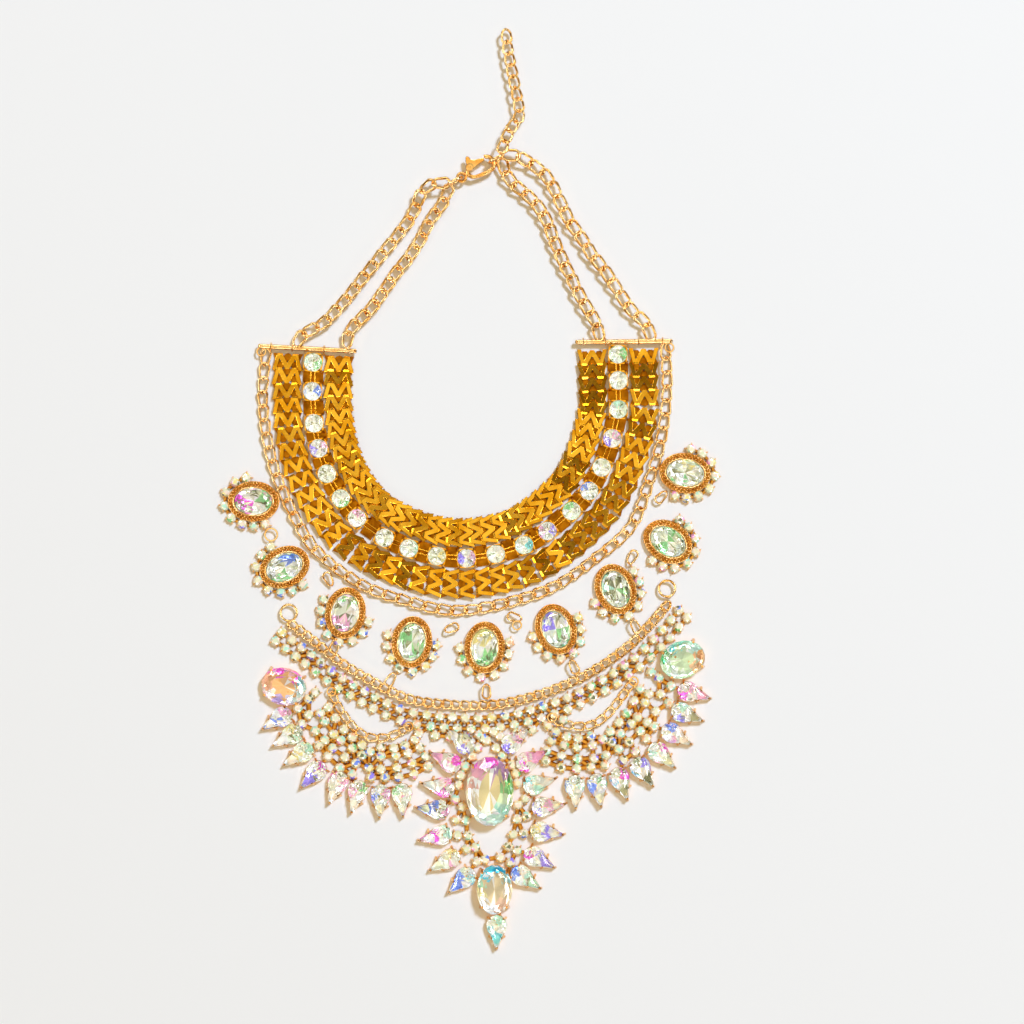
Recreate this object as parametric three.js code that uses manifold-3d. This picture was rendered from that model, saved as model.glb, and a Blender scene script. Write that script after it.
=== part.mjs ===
// Bib necklace, laid flat: a pierced collar with a row of square-set stones, framed by chain,
// with nine oval medallions, a stone-set bib, two fans of pear stones and a pendant.
// Units are millimetres. +X is to the right, +Y runs up to the clasp, +Z points up.

import * as THREE from 'three';
import { mergeVertices } from 'three/addons/utils/BufferGeometryUtils.js';
import Module from 'manifold-3d';

const wasm = await Module();
wasm.setup();

// Fits shared by all the pieces
const clearance = 0.3;
const weld = 0.4;

// Neck chains, extender and rings
const neckWire = 1.2;
const neckLinkWidth = 5.3;
const neckPitch = 5.4;
const extenderWire = 1.0;
const extenderLinkWidth = 4.6;
const extenderPitch = 4.4;
const linkRoll = 38;
const linkBite = 0.4;
const coreShare = 0.8;
const stepsDown = 3;
const linkSides = 10;
const wireSides = 5;
const ringRadius = 3.0;
const ringWire = 1.1;

// Collar
const collarHalfWidth = 15.2;
const collarPlate = 2.2;
const collarRanks = 44;
const gapLength = 3.0;
const gapWidth = 6.4;
const toothDepth = 1.2;
const toothShare = 0.85;
const gapShare = 0.2;
const barDiameter = 1.8;
const barHeight = 2.6;
const barInnerReach = 15.3;
const barOuterReach = 19.3;

// Row of square-set stones
const collarStones = 21;
const cupSide = 7.2;
const cupCorner = 1.4;
const cupHeight = 3.2;
const collarStoneHeight = 2.4;
const tieWidth = 1.6;
const tieHeight = 1.2;

// Chains shown here as round cores
const borderChain = 4.0;
const bibChain = 4.0;
const swagChain = 3.4;
const coreSides = 8;
const borderSteps = 28;
const bibSteps = 16;
const swagSteps = 8;
const neckCoreSteps = 16;
const extenderCoreSteps = 12;
const bandSteps = 20;
const frameSteps = 10;

// Medallions
const medallionStoneLength = 14;
const medallionStoneWidth = 10;
const medallionStoneHeight = 4.2;
const bezelWall = 2.1;
const bezelHeight = 3.4;
const ledgeHeight = 1.5;
const smallStone = 4.2;
const lobeCount = 8;
const lobeSpread = 190;

// Pear stones and oval stones
const pearLength = 13.2;
const pearWidth = 7.4;
const pearHeight = 5.0;
const fanPears = 8;
const pendantPears = 7;
const centreOvalLength = 25.6;
const centreOvalWidth = 17.8;
const centreOvalHeight = 8.0;
const sideOvalLength = 17.0;
const sideOvalWidth = 13.8;
const ovalSides = 14;
const lowerOvalLength = 18.4;
const lowerOvalWidth = 13.2;
const sideOvalHeight = 6.6;

// Facet levels of the stones: shares of the outline and of the height
const baseShare = 0.86;
const tableShare = 0.6;
const shoulderShare = 0.92;
const girdleLevel = 0.55;
const edgeLevel = 0.4;

// Stone-set plates
const plateHeight = 1.8;
const framePlate = 1.4;
const fanBite = 1.6;
const hangerWidth = 1.6;
const bottomPearShift = 0.8;
const footShare = 0.6;
const openingShare = 0.9;

// Clasp, along its own axis from the eye to the hook
const claspTurn = 28;
const claspThickness = 2.2;
const eyeRadius = 1.6;
const eyeWire = 1.2;
const hookStart = 1.8;
const hookEnd = 14.0;
const hookHalfWidth = 3.6;
const hookWall = 1.5;
const mouthStart = 6.3;
const mouthEnd = 10.8;
const pinX = 4.3;
const pinY = 1.9;
const pinRadius = 0.55;
const leverThickness = 0.9;
const leverBoss = 1.5;
const leverArm = 1.2;
const tabLength = 2.4;

// Routes, chosen points in order: [x, y]
const routes = {
  collar: [
    [-57.7, 51.2], [-58.1, 36.8], [-56.6, 18.7], [-50.7, 2.0], [-38.5, -13.1], [-22.6, -21.3],
    [-12.2, -24.2], [-1.5, -25.0], [9.2, -23.5], [20.0, -20.2], [33.3, -11.3], [44.0, -0.2],
    [51.4, 15.7], [54.8, 29.8], [54.8, 40.5], [54.5, 53.5],
  ],
  neckLeftOuter: [
    [-13.7, 113.2], [-17.6, 109.8], [-19.9, 104.5], [-22.9, 99.0], [-29.6, 90.5], [-38.9, 79.0],
    [-46.6, 69.4], [-54.5, 61.4], [-60.5, 58.6],
  ],
  neckLeftInner: [
    [-8.9, 107.4], [-11.5, 103.6], [-14.2, 100.2], [-16.2, 96.4], [-18.6, 91.8], [-22.2, 86.4],
    [-27.0, 80.5], [-31.5, 73.8], [-36.3, 67.2], [-40.7, 62.7], [-44.2, 59.6],
  ],
  neckRightInner: [
    [12.6, 118.2], [14.8, 114.6], [18.0, 111.5], [21.5, 108.6], [24.9, 105.0], [27.6, 100.9],
    [29.6, 96.2], [31.6, 91.0], [34.6, 84.0], [37.6, 78.0], [40.3, 72.4], [43.7, 66.5], [46.4, 61.8],
  ],
  neckRightOuter: [
    [17.4, 123.0], [22.6, 120.4], [27.4, 116.7], [30.7, 111.9], [33.3, 106.4], [35.9, 101.0],
    [38.9, 96.2], [42.2, 91.6], [45.1, 86.8], [48.8, 82.4], [52.5, 77.1], [56.2, 71.2],
    [60.3, 65.7], [64.6, 61.8],
  ],
  extender: [
    [13.0, 129.2], [15.4, 133.6], [18.1, 137.8], [17.8, 143.4], [17.0, 147.1], [16.3, 150.8],
    [15.5, 154.8], [14.8, 158.5], [14.1, 162.2], [13.3, 169.8],
  ],
  bib: [
    [-66.6, -48.7], [-57.4, -55.7], [-48.1, -63.1], [-35.9, -70.5], [-22.9, -76.8], [-7.4, -79.0],
    [9.2, -79.0], [27.8, -74.6], [44.4, -67.2], [58.5, -57.5], [67.3, -48.7], [73.6, -41.3],
  ],
  swagLeft: [
    [-51.0, -74.6], [-48.8, -79.4], [-45.6, -84.2], [-41.8, -88.4], [-37.0, -91.0],
    [-31.5, -91.2], [-26.6, -89.6], [-22.4, -87.0],
  ],
  swagRight: [
    [60.5, -70.5], [57.6, -74.2], [54.2, -78.8], [50.0, -83.4], [45.2, -86.4], [39.2, -87.0],
    [34.4, -86.0], [30.4, -83.8],
  ],
  fanLeft: [
    [-65.8, -81.4], [-62.4, -87.0], [-58.1, -94.2], [-53.3, -100.8], [-46.3, -104.2],
    [-40.7, -106.7], [-33.3, -108.2], [-25.2, -107.9],
  ],
  fanRight: [
    [76.6, -73.0], [74.2, -80.6], [70.8, -87.4], [67.0, -93.1], [60.7, -98.6], [53.7, -102.3],
    [45.5, -104.5], [38.5, -104.9],
  ],
  pendantLeft: [
    [1.5, -96.0], [-3.7, -103.0], [-5.9, -111.9], [-7.4, -118.6], [-6.7, -125.6], [-3.7, -134.1],
    [1.5, -140.0],
  ],
  pendantRight: [
    [12.2, -96.0], [17.4, -102.3], [20.0, -110.8], [22.6, -116.7], [22.2, -124.9], [20.7, -131.9],
    [15.5, -139.7],
  ],
};

// Free space between the collar and the border chain, by share of the collar's length
const borderSpace = [
  { along: 0.0, space: 0.3 }, { along: 0.08, space: 1.2 }, { along: 0.16, space: 0.6 },
  { along: 0.22, space: 0.4 }, { along: 0.29, space: 1.9 }, { along: 0.36, space: 2.0 },
  { along: 0.42, space: 1.4 }, { along: 0.48, space: 2.1 }, { along: 0.54, space: 1.3 },
  { along: 0.61, space: 1.4 }, { along: 0.68, space: 1.8 }, { along: 0.74, space: 3.0 },
  { along: 0.8, space: 1.0 }, { along: 0.86, space: 0.4 }, { along: 0.93, space: 0.8 },
  { along: 1.0, space: 0.3 },
];

// Medallions: share of the collar's length, space to the border chain, turn of the long axis
const medallions = [
  { along: 0.205, space: 0.3, turn: 0 },
  { along: 0.283, space: 1.8, turn: 25 },
  { along: 0.355, space: 0.9, turn: 80 },
  { along: 0.44, space: 2.7, turn: 82 },
  { along: 0.515, space: 3.2, turn: 87 },
  { along: 0.595, space: 3.2, turn: 110 },
  { along: 0.673, space: 2.3, turn: 112 },
  { along: 0.748, space: 3.2, turn: 147 },
  { along: 0.827, space: 0.3, turn: 172 },
];

// Depth of the bib band below its chain, by share of the chain's length
const bandDepth = [
  { along: 0.0, depth: 5.4 }, { along: 0.1, depth: 6.4 }, { along: 0.17, depth: 6.9 },
  { along: 0.25, depth: 6.0 }, { along: 0.34, depth: 5.3 }, { along: 0.42, depth: 5.0 },
  { along: 0.5, depth: 6.2 }, { along: 0.58, depth: 6.2 }, { along: 0.64, depth: 5.2 },
  { along: 0.74, depth: 6.0 }, { along: 0.825, depth: 7.2 }, { along: 0.93, depth: 6.2 },
  { along: 1.0, depth: 5.4 },
];

const up = new THREE.Vector3(0, 0, 1);
const rad = THREE.MathUtils.degToRad;

// Solids: join, cut and hand back as three.js geometry
function toSolid(geometry) {
  const bare = geometry.clone();
  bare.deleteAttribute('normal');
  bare.deleteAttribute('uv');
  const merged = mergeVertices(bare, 1e-4);
  return new wasm.Manifold(new wasm.Mesh({
    numProp: 3,
    vertProperties: new Float32Array(merged.attributes.position.array),
    triVerts: new Uint32Array(merged.index.array),
  }));
}

function toGeometry(solid) {
  const mesh = solid.getMesh();
  const geometry = new THREE.BufferGeometry();
  geometry.setAttribute('position', new THREE.BufferAttribute(mesh.vertProperties, 3));
  geometry.setIndex(new THREE.BufferAttribute(mesh.triVerts, 1));
  return geometry;
}

function join(geometries) {
  const solids = geometries.map(toSolid);
  return toGeometry(solids.reduce((whole, piece) => whole.add(piece)));
}

function cut(geometry, tools) {
  let solid = toSolid(geometry);
  for (const tool of tools) {
    solid = solid.subtract(toSolid(tool));
  }
  return toGeometry(solid);
}

// Flat outlines
function curveThrough(points) {
  return new THREE.CatmullRomCurve3(points.map(([x, y]) => new THREE.Vector3(x, y, 0)));
}

function valueAt(table, column, along) {
  const next = table.findIndex((row) => row.along >= along);
  if (next <= 0) {
    return table[Math.max(next, 0)][column];
  }
  const [low, high] = [table[next - 1], table[next]];
  const share = (along - low.along) / (high.along - low.along);
  return THREE.MathUtils.lerp(low[column], high[column], share);
}

// A point beside a curve: positive offsets lie to the right of its direction
function beside(curve, along, offset) {
  const tangent = curve.getTangentAt(along);
  const point = curve.getPointAt(along);
  return new THREE.Vector3(point.x + tangent.y * offset, point.y - tangent.x * offset, 0);
}

function extruded(points, height, holes = []) {
  const shape = new THREE.Shape(points);
  shape.holes = holes.map((hole) => new THREE.Path(hole));
  return new THREE.ExtrudeGeometry(shape, { depth: height, bevelEnabled: false });
}

function ellipse(length, width, sides) {
  const points = [];
  for (let i = 0; i < sides; i += 1) {
    const angle = ((i + 0.5) / sides) * 2 * Math.PI;
    points.push(new THREE.Vector2(Math.cos(angle) * length / 2, Math.sin(angle) * width / 2));
  }
  return points;
}

function cutSquare(side, corner) {
  const [half, short] = [side / 2, side / 2 - corner];
  const corners = [[half, -short], [half, short], [short, half], [-short, half]];
  const opposite = corners.map(([x, y]) => [-x, -y]);
  return [...corners, ...opposite].map(([x, y]) => new THREE.Vector2(x, y));
}

// Round end at the origin's side, tip along +X; the root of the round end is at x = 0
function pear(length, width, roundSides = 7) {
  const radius = width / 2;
  const points = [new THREE.Vector2(length, 0)];
  for (let i = 0; i < roundSides; i += 1) {
    const angle = rad(70 + (220 * i) / (roundSides - 1));
    points.push(new THREE.Vector2(radius + radius * Math.cos(angle), radius * Math.sin(angle)));
  }
  return points;
}

// A faceted stack: the outline at each level, drawn in about its middle by a share
function stack(outline, levels) {
  const middle = outline.reduce((sum, p) => sum.add(p), new THREE.Vector2());
  middle.divideScalar(outline.length);
  const count = outline.length;
  const position = [];
  for (const { z, share } of levels) {
    for (const p of outline) {
      position.push(middle.x + (p.x - middle.x) * share, middle.y + (p.y - middle.y) * share, z);
    }
  }
  const index = [];
  const top = count * (levels.length - 1);
  for (let i = 1; i < count - 1; i += 1) {
    index.push(0, i + 1, i, top, top + i, top + i + 1);
  }
  for (let level = 0; level < levels.length - 1; level += 1) {
    for (let i = 0; i < count; i += 1) {
      const a = level * count + i;
      const b = level * count + ((i + 1) % count);
      index.push(a, b, b + count, a, b + count, a + count);
    }
  }
  const geometry = new THREE.BufferGeometry();
  geometry.setAttribute('position', new THREE.Float32BufferAttribute(position, 3));
  geometry.setIndex(index);
  return geometry;
}

// A stone in its setting, with a girdle, crown facets and a flat table
function setStone(outline, height, seat = 0) {
  return stack(outline, [
    { z: seat, share: baseShare },
    { z: seat + height * girdleLevel, share: 1 },
    { z: seat + height, share: tableShare },
  ]);
}

function turned(geometry, degrees, x, y, z = 0) {
  return geometry.rotateZ(rad(degrees)).translate(x, y, z);
}

// Chains: stretched rings, each through the next and fused where they bear
function ovalLink(length, width, wire) {
  const bend = (width - wire) / 2;
  const section = [];
  for (let i = 0; i <= wireSides; i += 1) {
    const angle = Math.PI + (2 * Math.PI * i) / wireSides;
    section.push(new THREE.Vector2(bend + Math.cos(angle) * wire / 2, Math.sin(angle) * wire / 2));
  }
  const link = new THREE.LatheGeometry(section, linkSides, Math.PI / linkSides).rotateX(Math.PI / 2);
  const stretch = (length - wire) / 2 - bend * Math.cos(Math.PI / linkSides);
  const points = link.attributes.position;
  for (let i = 0; i < points.count; i += 1) {
    const side = THREE.MathUtils.clamp((4 * points.getX(i)) / bend, -1, 1);
    points.setX(i, points.getX(i) + side * stretch);
  }
  return link;
}

function setAlong(geometry, point, tangent, roll) {
  const side = new THREE.Vector3().crossVectors(up, tangent).normalize();
  const over = new THREE.Vector3().crossVectors(tangent, side);
  const frame = new THREE.Matrix4().makeBasis(tangent, side, over);
  frame.multiply(new THREE.Matrix4().makeRotationX(rad(roll)));
  frame.setPosition(point);
  return geometry.applyMatrix4(frame);
}

// The links run from one anchor to the other; a seat is how far a link reaches past its anchor.
// A cored chain has real links at its two ends and a round core between them.
function linkChain(curve, link, startSeat, endSeat, lastRoll, coreSteps = 0) {
  const bite = linkBite * link.wire;
  const length = curve.getLength();
  const span = length - 2 * bite + startSeat + endSeat;
  const count = Math.round(span / link.pitch);
  const pitch = span / count;
  const at = (step) => (pitch * (step + 0.5) + bite - startSeat) / length;
  const pieces = [];
  for (let i = 0; i < count; i += 1) {
    if (coreSteps && i > 0 && i < count - 1) {
      continue;
    }
    const alternate = linkRoll * (i % 2 === 0 ? 1 : -1);
    const lastOrAlternate = i === count - 1 ? lastRoll : alternate;
    pieces.push(setAlong(
      ovalLink(pitch + 2 * bite + link.wire, link.width, link.wire),
      curve.getPointAt(at(i)),
      curve.getTangentAt(at(i)),
      i === 0 ? 0 : lastOrAlternate,
    ));
  }
  if (coreSteps) {
    const inside = [];
    for (let i = 0; i <= coreSteps; i += 1) {
      inside.push(curve.getPointAt(THREE.MathUtils.lerp(at(0.5), at(count - 1.5), i / coreSteps)));
    }
    pieces.push(core(new THREE.CatmullRomCurve3(inside), coreShare * link.width, coreSteps));
  }
  return join(pieces);
}

function core(curve, diameter, steps) {
  const section = new THREE.Shape(ellipse(diameter, diameter, coreSides));
  return new THREE.ExtrudeGeometry(section, { extrudePath: curve, steps, bevelEnabled: false });
}

// Straight tab between two flat points, with square ends
function tab(from, to, width, height, z) {
  const span = to.clone().sub(from);
  const box = new THREE.BoxGeometry(span.length(), width, height);
  const middle = from.clone().lerp(to, 0.5);
  return turned(box, THREE.MathUtils.radToDeg(Math.atan2(span.y, span.x)), middle.x, middle.y, z);
}

// Collar: centre line, bands, stone row and end bars
const collarCurve = curveThrough(routes.collar);
const bandInside = cupSide / 2 + clearance;

function collarBand(inner, outer) {
  const [inside, outside] = [[], []];
  const holes = [];
  const pitch = 1 / collarRanks;
  const middle = (inner + outer) / 2;
  const reach = (gapWidth / 2) * Math.sign(outer - inner);
  const opening = gapLength / collarCurve.getLength();
  const bite = toothDepth * Math.sign(outer - inner);
  for (let i = 0; i < collarRanks; i += 1) {
    const start = i * pitch;
    inside.push(beside(collarCurve, start, inner));
    outside.push(beside(collarCurve, start, outer - bite));
    outside.push(beside(collarCurve, start + pitch * toothShare, outer));
    holes.push([
      beside(collarCurve, start + pitch * gapShare, middle - reach),
      beside(collarCurve, start + pitch * gapShare, middle + reach),
      beside(collarCurve, start + pitch * gapShare + opening, middle),
    ]);
  }
  inside.push(beside(collarCurve, 1, inner));
  outside.push(beside(collarCurve, 1, outer));
  return extruded([...inside, ...outside.reverse()], collarPlate, holes);
}

const barOffset = barDiameter / 2 + clearance;
const collarEnds = {
  left: { along: 0, outward: -1 },
  right: { along: 1, outward: 1 },
};

// Point on an end bar's centre line, measured outward from the collar's centre line
function barPoint(end, outward) {
  const point = beside(collarCurve, end.along, outward);
  const tangent = collarCurve.getTangentAt(end.along);
  return point.addScaledVector(tangent, end.outward * barOffset).setZ(barHeight);
}

function endBar(end) {
  const from = barPoint(end, -barInnerReach);
  const to = barPoint(end, barOuterReach);
  const bar = new THREE.CylinderGeometry(barDiameter / 2, barDiameter / 2, from.distanceTo(to), 10);
  const turn = new THREE.Quaternion().setFromUnitVectors(
    new THREE.Vector3(0, 1, 0),
    to.clone().sub(from).normalize(),
  );
  return bar.applyQuaternion(turn).translate(...from.lerp(to, 0.5).toArray());
}

// Where each neck chain holds its bar, outward from the collar's centre line
const neckHolds = {
  neckLeftOuter: { end: collarEnds.left, outward: 6.8 },
  neckLeftInner: { end: collarEnds.left, outward: -12.0 },
  neckRightInner: { end: collarEnds.right, outward: -6.4 },
  neckRightOuter: { end: collarEnds.right, outward: 12.6 },
};
const holdSeat = (barDiameter + neckWire) / 2 + clearance;

function holdNotch({ end, outward }) {
  const hold = barPoint(end, outward);
  const tangent = collarCurve.getTangentAt(end.along);
  const depth = 2 * (holdSeat + neckWire / 2 + clearance);
  const notch = new THREE.BoxGeometry(depth, neckWire + 2 * clearance, 4 * collarPlate);
  const turn = THREE.MathUtils.radToDeg(Math.atan2(tangent.y, tangent.x));
  return turned(notch, turn, hold.x, hold.y);
}

function stoneRow() {
  const pieces = [];
  const end = cupSide / 2 + 3 * clearance;
  const usable = collarCurve.getLength() - 2 * end;
  const centres = [];
  for (let i = 0; i < collarStones; i += 1) {
    const along = (end + (usable * i) / (collarStones - 1)) / collarCurve.getLength();
    const tangent = collarCurve.getTangentAt(along);
    const point = collarCurve.getPointAt(along);
    const turn = THREE.MathUtils.radToDeg(Math.atan2(tangent.y, tangent.x));
    const cup = stack(cutSquare(cupSide, cupCorner), [
      { z: 0, share: 1 },
      { z: cupHeight, share: 1 },
      { z: cupHeight + collarStoneHeight, share: tableShare },
    ]);
    pieces.push(turned(cup, turn, point.x, point.y));
    centres.push(point);
  }
  for (let i = 1; i < collarStones; i += 1) {
    pieces.push(tab(centres[i - 1], centres[i], tieWidth, tieHeight, tieHeight / 2));
  }
  return join(pieces);
}

// Border chain round the collar's outside
function borderOffset(along) {
  return collarHalfWidth + valueAt(borderSpace, 'space', along) + borderChain / 2;
}

function borderCurve() {
  const points = [barPoint(collarEnds.left, borderOffset(0))];
  points[0].addScaledVector(collarCurve.getTangentAt(0), 2 * barOffset);
  for (const { along } of borderSpace.slice(1, -1)) {
    points.push(beside(collarCurve, along, borderOffset(along)));
  }
  points.push(barPoint(collarEnds.right, borderOffset(1)));
  points.at(-1).addScaledVector(collarCurve.getTangentAt(1), -2 * barOffset);
  return new THREE.CatmullRomCurve3(points.map((p) => p.setZ(borderChain / 2)));
}

// Medallions
const bezelLength = medallionStoneLength + 2 * (clearance + bezelWall);
const bezelWidth = medallionStoneWidth + 2 * (clearance + bezelWall);

function ovalReach(length, width, angle) {
  const across = Math.hypot(width * Math.cos(angle), length * Math.sin(angle));
  return (length * width) / 2 / across;
}

function lobeReach(angle, outward) {
  const away = Math.atan2(Math.sin(angle - outward), Math.cos(angle - outward));
  const spread = rad(lobeSpread);
  const base = ovalReach(bezelLength, bezelWidth, angle);
  if (Math.abs(away) > spread / 2 + spread / lobeCount / 2) {
    return base;
  }
  const phase = ((away + spread / 2) / spread) * (lobeCount - 1);
  const swell = Math.abs(Math.cos(Math.PI * phase));
  return base + smallStone * (0.8 + 0.3 * swell);
}

function medallionPlace({ along, space, turn }) {
  const tangent = collarCurve.getTangentAt(along);
  const outward = new THREE.Vector3(tangent.y, -tangent.x, 0);
  const angle = Math.atan2(outward.y, outward.x) - rad(turn);
  const toChain = borderOffset(along) + borderChain / 2;
  const reach = ovalReach(bezelLength, bezelWidth, angle);
  const centre = beside(collarCurve, along, toChain + space + reach);
  return { centre, turn, outward: angle, toChain: space + reach };
}

function medallionSetting(place) {
  const base = [];
  const spread = rad(lobeSpread);
  const samples = 2 * (lobeCount - 1);
  for (let i = -1; i <= samples + 1; i += 1) {
    const angle = place.outward - spread / 2 + (spread * i) / samples;
    const reach = lobeReach(angle, place.outward);
    base.push(new THREE.Vector2(Math.cos(angle) * reach, Math.sin(angle) * reach));
  }
  const back = place.outward + Math.PI;
  for (const share of [-0.5, -0.25, 0.25, 0.5]) {
    const angle = back + share * (2 * Math.PI - spread) * 0.8;
    const reach = ovalReach(bezelLength, bezelWidth, angle);
    base.push(new THREE.Vector2(Math.cos(angle) * reach, Math.sin(angle) * reach));
    if (share === -0.25) {
      const end = place.toChain - clearance;
      for (const side of [-1, 1]) {
        const hanger = new THREE.Vector2(end, side * hangerWidth / 2);
        base.push(hanger.rotateAround(new THREE.Vector2(), back).clone());
      }
    }
  }
  const ring = extruded(
    ellipse(bezelLength - weld, bezelWidth - weld, 10),
    bezelHeight - ledgeHeight + weld,
    [ellipse(medallionStoneLength + 2 * clearance, medallionStoneWidth + 2 * clearance, 10)],
  );
  return join([extruded(base, ledgeHeight), ring.translate(0, 0, ledgeHeight - weld)]);
}

function medallionStone() {
  const outline = ellipse(medallionStoneLength, medallionStoneWidth, 10);
  return setStone(outline, medallionStoneHeight, ledgeHeight + clearance);
}

// Bib chain with its end rings and the hangers that reach up to the medallions
const bibCurve = curveThrough(routes.bib);

function bibChainNode(places) {
  const raised = curveThrough(routes.bib);
  raised.points.forEach((p) => p.setZ(bibChain / 2));
  const pieces = [core(raised, bibChain, bibSteps)];
  for (const place of places.slice(2, 7)) {
    const from = nearestOnBib(place.centre);
    const away = from.clone().sub(place.centre);
    const reach = lobeReachAt(place, from) + 2 * clearance;
    const to = place.centre.clone().addScaledVector(away.normalize(), reach);
    pieces.push(tab(from, to, hangerWidth, ledgeHeight, bibChain / 2));
  }
  const held = [places[1], places[7]];
  [bibCurve.getPointAt(0), bibCurve.getPointAt(1)].forEach((point, i) => {
    const away = held[i].centre.clone().sub(point).setZ(0);
    const gap = away.length() - lobeReachAt(held[i], point) - clearance;
    const outer = gap + weld;
    const ring = new THREE.TorusGeometry((outer - ringWire) / 2, ringWire / 2, wireSides, linkSides);
    const middle = point.clone().addScaledVector(away.normalize(), gap - outer / 2);
    pieces.push(ring.translate(middle.x, middle.y, bibChain / 2));
  });
  return join(pieces);
}

function nearestOnBib(centre) {
  const points = bibCurve.getSpacedPoints(5 * bandSteps);
  return points.reduce((best, p) => (p.distanceTo(centre) < best.distanceTo(centre) ? p : best));
}

function lobeReachAt(place, point) {
  const away = point.clone().sub(place.centre);
  return lobeReach(Math.atan2(away.y, away.x) - rad(place.turn), place.outward);
}

// Bib band: the rows of small stones on their bars, as one plate under the chain
function bibBand() {
  const near = bibChain / 2 + clearance;
  const [top, bottom] = [[], []];
  for (let i = 0; i <= bandSteps; i += 1) {
    const along = i / bandSteps;
    top.push(beside(bibCurve, along, near));
    bottom.push(beside(bibCurve, along, near + valueAt(bandDepth, 'depth', along)));
  }
  return extruded([...top, ...bottom.reverse()], plateHeight);
}

// Pears side by side along a route, tips pointing away from it
function pearsAlong(route, count, outward) {
  const curve = curveThrough(route);
  const places = [];
  for (let i = 0; i < count; i += 1) {
    const along = i / (count - 1);
    const tangent = curve.getTangentAt(along);
    const angle = Math.atan2(-tangent.x * outward, tangent.y * outward);
    places.push({ root: curve.getPointAt(along), turn: THREE.MathUtils.radToDeg(angle) });
  }
  return places;
}

function pearStone({ root, turn }) {
  return turned(setStone(pear(pearLength, pearWidth), pearHeight), turn, root.x, root.y);
}

function pearRoom({ root, turn }) {
  const room = pear(pearLength + 2 * clearance, pearWidth + 2 * clearance);
  const outline = room.map((p) => new THREE.Vector2(p.x - clearance, p.y));
  return turned(extruded(outline, 8 * plateHeight), turn, root.x, root.y, -plateHeight);
}

// Fans: a plate from the swag chain down to a row of pears, with a corner at the side oval
function fan(swagRoute, pearPlaces, rim, outward, oval, rooms) {
  const swag = curveThrough(swagRoute);
  const rimCurve = curveThrough(rim);
  const near = swagChain / 2 + clearance;
  const [top, bottom] = [[], []];
  for (let i = 0; i <= swagSteps; i += 1) {
    top.push(beside(swag, i / swagSteps, near * outward));
    bottom.push(beside(rimCurve, i / swagSteps, fanBite * outward));
  }
  const corner = new THREE.Vector2(oval.x, oval.y);
  const plate = cut(extruded([...top, ...bottom.reverse(), corner], plateHeight), rooms);
  return join([plate, ...pearPlaces.map(pearStone)]);
}

// Oval stones in their settings
function ovalStone(length, width, height, sides, seat) {
  return stack(ellipse(length, width, sides), [
    { z: seat, share: 1 },
    { z: seat + height * edgeLevel, share: 1 },
    { z: seat + height * girdleLevel, share: shoulderShare },
    { z: seat + height, share: tableShare },
  ]);
}

function ovalRoom(length, width, turn, x, y) {
  const outline = ellipse(length + 3 * clearance, width + 3 * clearance, ovalSides);
  return turned(extruded(outline, 8 * plateHeight), turn, x, y, -plateHeight);
}

const ovals = {
  centre: { x: 7.3, y: -110.7, turn: 90 },
  lower: { x: 9.1, y: -147.0, turn: 90 },
  left: { x: -68.6, y: -72.3, turn: -15 },
  right: { x: 78.4, y: -62.4, turn: 20 },
};

// Pendant frame: the plate between the two rows of pears, open between the two ovals
function pendantFrame(rooms) {
  const left = curveThrough(routes.pendantLeft);
  const right = curveThrough(routes.pendantRight);
  const [west, east] = [[], []];
  for (let i = 0; i <= frameSteps; i += 1) {
    west.push(beside(left, i / frameSteps, weld));
    east.push(beside(right, i / frameSteps, -weld));
  }
  const { x, y } = ovals.lower;
  const half = lowerOvalWidth / 2;
  const foot = [
    new THREE.Vector2(x + half * footShare, y - half * footShare),
    new THREE.Vector2(x - half * footShare, y - half * footShare),
  ];
  const top = bandBottom();
  const head = [
    new THREE.Vector2(ovals.centre.x - half, top),
    new THREE.Vector2(ovals.centre.x + half * footShare, top),
  ];
  const low = ovals.centre.y - centreOvalLength / 2 - clearance;
  const high = y + lowerOvalLength / 2 + clearance;
  const opening = [
    new THREE.Vector2(x - half * openingShare, low),
    new THREE.Vector2(x - half * openingShare, (low + high) / 2),
    new THREE.Vector2(x - half * openingShare / 2, high),
    new THREE.Vector2(x + half * openingShare / 2, high),
    new THREE.Vector2(x + half * openingShare, (low + high) / 2),
    new THREE.Vector2(x + half * openingShare, low),
  ];
  const plate = extruded([...head, ...east, ...foot, ...west.reverse()], framePlate, [opening]);
  return cut(plate, rooms);
}

function bandBottom() {
  const halfway = 0.5;
  const depth = bibChain / 2 + 2 * clearance + valueAt(bandDepth, 'depth', halfway);
  return beside(bibCurve, halfway, depth).y;
}

// Clasp, built along +X from its eye and then set on its axis
const ringMiddle = ringRadius + ringWire / 2;
const hookMiddle = (hookStart + hookEnd) / 2;
const hookHalfLength = (hookEnd - hookStart) / 2;
const hollowStart = pinX;
const hollowEnd = hookEnd - hookWall;

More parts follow.
